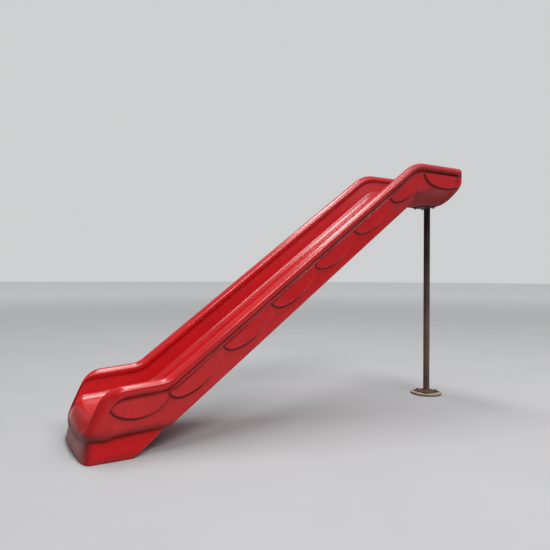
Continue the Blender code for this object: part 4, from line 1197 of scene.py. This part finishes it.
# %% [markdown]
# ## Concrete of the pad
#
# The pad is sandy concrete: pale, dry and rough, with grains of several colours, and darker
# round its lower edge, where it meets the ground. The rim is a mask stored on the points, because
# it follows the edge.

# %% Sandy concrete
SAND, SAND_PALE, SAND_GRAIN = (0.33, 0.25, 0.18), (0.45, 0.36, 0.27), (0.20, 0.14, 0.10)
SAND_DARK_EDGE = (0.075, 0.052, 0.038)


def cast_sand():
    """Wide patches, fine grains over them, and the darker rim last."""
    made, tree, shader = new_finish("sandy_concrete")
    where = object_place(tree)
    patches = cloud(tree, where, 18.0, 5.0)
    grain = cloud(tree, where, 330.0, 5.0, 0.7)
    base = blend_colours(tree, ramp(tree, patches, 0.3, 0.7), SAND, SAND_PALE)
    base = blend_colours(tree, ramp(tree, grain, 0.5, 0.75, 0.0, 0.6), base, SAND_GRAIN)
    rim = times(tree, stored(tree, "rim"), ramp(tree, patches, 0.25, 0.60, 0.55, 1.0))
    base = blend_colours(tree, rim, base, SAND_DARK_EDGE)
    finish_with(tree, shader, base, ramp(tree, grain, 0.3, 0.7, 0.8, 0.95), relief(tree, grain, 0.0008))
    return made


sand = cast_sand()
print(sand.name, len(sand.node_tree.nodes), "nodes")

# %% [markdown]
# ## Zinc, brass and the plug
#
# The fasteners are plated with zinc, which turns dull grey outdoors, the inserts are machined
# brass, and the vent plug is black plastic. A metal's colour is that of its reflections, so one
# function with Metallic at 1, two tints and a range of roughness serves both metals.

# %% Metals and plug


def metal(name, dark, light, low, high):
    """Patches between two tints, with roughness going from low to high in the same patches."""
    made, tree, shader = new_finish(name)
    where = object_place(tree)
    patches = cloud(tree, where, 90.0, 4.0)
    grain = cloud(tree, where, 700.0, 3.0, 0.7)
    base = blend_colours(tree, ramp(tree, patches, 0.3, 0.7), dark, light)
    shader.inputs["Metallic"].default_value = 1.0
    finish_with(tree, shader, base, ramp(tree, patches, 0.3, 0.7, low, high), relief(tree, grain, 0.00008))
    return made


def black_plug():
    """One fine grain drives colour, roughness and relief."""
    made, tree, shader = new_finish("black_plug_plastic")
    grain = cloud(tree, object_place(tree), 500.0, 4.0, 0.7)
    base = blend_colours(tree, ramp(tree, grain, 0.4, 0.7), (0.012, 0.012, 0.013), (0.030, 0.030, 0.032))
    finish_with(tree, shader, base, ramp(tree, grain, 0.3, 0.7, 0.42, 0.58), relief(tree, grain, 0.00012))
    return made


zinc = metal("zinc_plating", (0.22, 0.22, 0.22), (0.40, 0.40, 0.405), 0.38, 0.58)
brass = metal("brass_insert", (0.52, 0.36, 0.14), (0.74, 0.56, 0.28), 0.22, 0.42)
plug = black_plug()
print("finishes so far:", len(bpy.data.materials))

# %% [markdown]
# ## Solids that keep their shape
#
# Plates, fasteners, inserts and plug are right as the engineering model has them, since their
# shapes are plain machined ones. They stay, and only their material slots change.

# %% Finishes for the solids
FINISH_OF = {"head_plate": paint, "base_plate": paint, "vent_plug": plug}
carried = [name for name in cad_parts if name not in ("chute", "post_tube", "footing_pad")]
for name in carried:
    finish = FINISH_OF.get(name) or (brass if "insert" in name else zinc)
    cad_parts[name].data.materials.clear()
    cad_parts[name].data.materials.append(finish)
print("finished nodes:", len(carried))

# %% [markdown]
# ## The post and its welds
#
# The post is a drawn steel tube, welded round to a plate at each end. The tube is a surface of
# revolution: a radius for every height. A weld is a row of overlapping beads, so near the ends
# the radius swells, and the swelling ripples as it goes round. Separate rings for the welds
# would leave a hard line between bead and tube.

# %% Post
WANDER = 0.00012


def beaded_tube(low, high, radius, bead_w, bead_h, beads):
    """Points of the tube, with d the distance to the nearer end and a the angle.

    radius + bead_h (1 - d / bead_w)^(1/2) (1 + 0.16 cos(beads a + 900 d)), plus a wander of a
    tenth of a millimetre, since no drawn tube is perfectly straight, less the most it can be.
    """
    near = bead_w * (1 - np.cos(np.linspace(0, math.pi / 2, 13)))
    between = np.linspace(low + bead_w, high - bead_w, 60)[1:-1]
    heights = np.concatenate([low + near, between, high - near[::-1]])
    a = np.linspace(0, 2 * math.pi, 193)[:-1]
    end_gap = np.minimum(heights - low, high - heights)[:, None]
    ripple = 1 + 0.16 * np.cos(beads * a + end_gap * 900)
    bead = bead_h * np.sqrt(np.clip(1 - end_gap / bead_w, 0, 1)) * ripple
    wander = WANDER * np.sin(heights * 17.0)[:, None] * np.cos(a)
    r = radius + bead + wander - WANDER
    return np.stack([r * np.cos(a), r * np.sin(a), np.broadcast_to(heights[:, None], r.shape)], axis=-1)


post_low, post_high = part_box("post_tube")
post_centre = np.array([(post_low.x + post_high.x) / 2, (post_low.y + post_high.y) / 2, 0.0])
post_radius = (post_high.y - post_low.y) / 2
post_points = beaded_tube(post_low.z, post_high.z, post_radius, bead_w=0.0060, bead_h=0.0042, beads=38)
post_mesh = closed_stack("post_skin", post_points + post_centre)
add_piece("post_tube_welded", post_mesh, paint, ("post_tube",), sharp=60)

# %% [markdown]
# ## The footing pad
#
# The pad is cast on the spot, so its outline is not a true circle and its edge is chipped. It
# could be sculpted, but a few waves of different pace make the outline wander, and the product
# of two more bites chips out of the edge, the same each time the lesson runs.

# %% Pad


def cast_pad(centre, radius, height):
    """Rings of the pad: up its side, over a chipped edge and flat across the top.

    The outline is radius (1 - 0.014 (1 - wander)), where wander adds three waves of the angle,
    less the chips, which are the product of two sines where it is over 0.45.
    """
    a = np.linspace(0, 2 * math.pi, 241)[:-1]
    wander = (np.sin(3 * a + 0.7) + 0.7 * np.sin(5 * a + 2.1) + 0.5 * np.sin(8 * a + 0.3)) / 2.2
    chips = np.clip(np.sin(13 * a + 1.0) * np.sin(7 * a) - 0.45, 0, 1)
    outer = radius * (1 - 0.014 * (1 - wander)) - 0.0035 * chips
    edge = 0.0040 + 0.0030 * chips
    turn = np.linspace(0, math.pi / 2, 9)[:, None]
    side = np.stack([outer - 0.0012, outer])
    side_z = np.stack([0 * a, 0.002 + 0 * a])
    rounding = outer - edge * (1 - np.cos(turn))
    rounding_z = height - edge * (1 - np.sin(turn))
    shrink = np.linspace(0.93, 0.30, 12)[:, None]
    top = (outer - 0.008) * shrink
    calm = np.clip((shrink - 0.30) / 0.3, 0, 1)
    ripple = 0.0003 * (1 + np.sin(5 * a + 24 * shrink) * np.cos(2 * a)) * calm
    r = np.concatenate([side, rounding, top])
    z = np.concatenate([side_z, rounding_z, height - ripple])
    return np.stack([centre[0] + r * np.cos(a), centre[1] + r * np.sin(a), z], axis=-1)


pad_low, pad_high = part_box("footing_pad")
pad_centre = ((pad_low.x + pad_high.x) / 2, (pad_low.y + pad_high.y) / 2)
pad_points = cast_pad(pad_centre, (pad_high.x - pad_low.x) / 2, pad_high.z)
pad_mesh = closed_stack("pad_skin", pad_points)
from_middle = np.linalg.norm(pad_points[..., :2] - np.array(pad_centre), axis=-1)
keep_share(pad_mesh, "rim", smooth(0.100, 0.112, from_middle) * smooth(0.0165, 0.008, pad_points[..., 2]))
pad = add_piece("footing_pad_cast", pad_mesh, sand, ("footing_pad",), sharp=60)
cut_pockets(pad, [pocket_for(f"anchor_stud_{k}", 2, 0.0003) for k in range(1, 5)])

# %% [markdown]
# ## A pale floor
#
# The slide stands on a plain pale floor, which isn't part of it. A small plane would show its
# edge, so the floor is a disc of 60 m radius whose rings grow outwards. Far away it would fall
# off into grey, so for the camera alone it glows a little and meets the backdrop.

# %% Floor
FLOOR_DROP = 0.0005


def pale_floor():
    """Grey with faint patches; the glow grows from 1 m to 22 m away, seen by the camera only."""
    made, tree, shader = new_finish("pale_studio_floor")
    where = object_place(tree)
    patches = cloud(tree, where, 1.3, 5.0)
    base = blend_colours(tree, ramp(tree, patches, 0.3, 0.7), (0.415, 0.415, 0.42), (0.43, 0.43, 0.435))
    tree.links.new(base, shader.inputs["Base Color"])
    away = put(tree, "VectorMath", {"operation": 'LENGTH'}, i0=where).outputs["Value"]
    seen = put(tree, "LightPath").outputs["Is Camera Ray"]
    glow = times(tree, seen, ramp(tree, away, 1.0, 22.0, 0.0, 0.52))
    tree.links.new(glow, shader.inputs["Emission Strength"])
    shader.inputs["Emission Color"].default_value = (0.60, 0.605, 0.61, 1.0)
    shader.inputs["Roughness"].default_value = 0.8
    return made


radius = np.concatenate([[0.5], np.geomspace(1.5, 60.0, 12)])
turn = np.linspace(0, 2 * math.pi, 97)[:-1]
disc = np.stack([radius[:, None] * np.cos(turn), radius[:, None] * np.sin(turn),
                 np.zeros((len(radius), len(turn)))], axis=-1)
floor_faces = grid_quads(len(radius), len(turn)).tolist() + [list(range(len(turn)))[::-1]]
floor_mesh = bpy.data.meshes.new("floor")
floor_mesh.from_pydata(disc.reshape(-1, 3).tolist(), [], floor_faces)
floor = bpy.data.objects.new("floor", floor_mesh)
bpy.context.scene.collection.objects.link(floor)
floor.location.z = -FLOOR_DROP
floor_mesh.materials.append(pale_floor())
print("floor:", len(floor_faces), "faces")

# %% [markdown]
# ## Light
#
# Glossy plastic shows its surroundings more than its colour. Outdoors that is one wide sky, and
# small lamps would give hard spots instead. So a dim sky, brighter towards the top, lights the
# slide, and two long soft boxes lay broad streaks along the rails. The camera sees an even pale
# backdrop instead of that sky.

# %% Sky and backdrop
world = bpy.data.worlds.new("pale_room")
bpy.context.scene.world = world
world.use_nodes = True
tree = world.node_tree
backdrop = tree.nodes["Background"]
backdrop.inputs["Color"].default_value = (0.62, 0.625, 0.63, 1.0)
sky = put(tree, "Background")
height = put(tree, "SeparateXYZ", Vector=put(tree, "TexCoord").outputs["Generated"]).outputs[2]
glow = blend_colours(tree, ramp(tree, height, 0.15, 0.95), (0.15, 0.155, 0.16), (0.50, 0.51, 0.53))
tree.links.new(glow, sky.inputs["Color"])
seen = put(tree, "LightPath").outputs["Is Camera Ray"]
either = put(tree, "MixShader", i0=seen, i1=sky.outputs[0], i2=backdrop.outputs[0])
tree.links.new(either.outputs[0], tree.nodes["World Output"].inputs["Surface"])
bpy.context.scene.view_settings.view_transform = 'Standard'
print("world:", len(tree.nodes), "nodes")

# %% Soft boxes


def soft_box(name, place, aim, size, power):
    """Rectangular studio light at place that faces aim."""
    lamp = bpy.data.lights.new(name, 'AREA')
    lamp.shape, lamp.size, lamp.size_y = 'RECTANGLE', size[0], size[1]
    lamp.energy = power
    made = bpy.data.objects.new(name, lamp)
    bpy.context.scene.collection.objects.link(made)
    made.location = place
    made.rotation_euler = (Vector(aim) - Vector(place)).to_track_quat('-Z', 'Y').to_euler()


soft_box("long_box_overhead", (-0.1, 0.1, 10.6), (0.0, 0.1, 0.6), (9.5, 1.8), 820)
soft_box("long_box_in_front", (1.4, -7.6, 9.2), (0.0, 0.0, 0.7), (8.5, 1.8), 720)

# %% [markdown]
# ## Camera
#
# The camera stands where the photograph was taken: nearly a metre up, level and off to one side.
# A Track To constraint would point it at the slide, but it couldn't keep the photograph's slight
# roll. So three angles give three unit axes, and these are the columns of the camera's matrix.

# %% Camera
YAW, PITCH, ROLL = 0.5285846, -0.0015289, 0.0036788
CAMERA_PLACE = Vector((SHIFT - 0.45643, -2.908697, 0.937))
LENS_MM, SENSOR_MM = 33.7053, 36.0
ahead = Vector((math.sin(YAW) * math.cos(PITCH), math.cos(YAW) * math.cos(PITCH), math.sin(PITCH)))
right = Vector((math.cos(YAW), -math.sin(YAW), 0.0))
upward = right.cross(ahead)
side_axis = right * math.cos(ROLL) + upward * math.sin(ROLL)
up_axis = upward * math.cos(ROLL) - right * math.sin(ROLL)
lens = bpy.data.cameras.new("photo_view")
lens.lens, lens.sensor_width = LENS_MM, SENSOR_MM
camera = bpy.data.objects.new("photo_view", lens)
bpy.context.scene.collection.objects.link(camera)
camera.matrix_world = Matrix([
    (side_axis[k], up_axis[k], -ahead[k], CAMERA_PLACE[k]) for k in range(3)] + [(0, 0, 0, 1)])
bpy.context.scene.camera = camera
print("camera at", [round(value, 3) for value in CAMERA_PLACE])
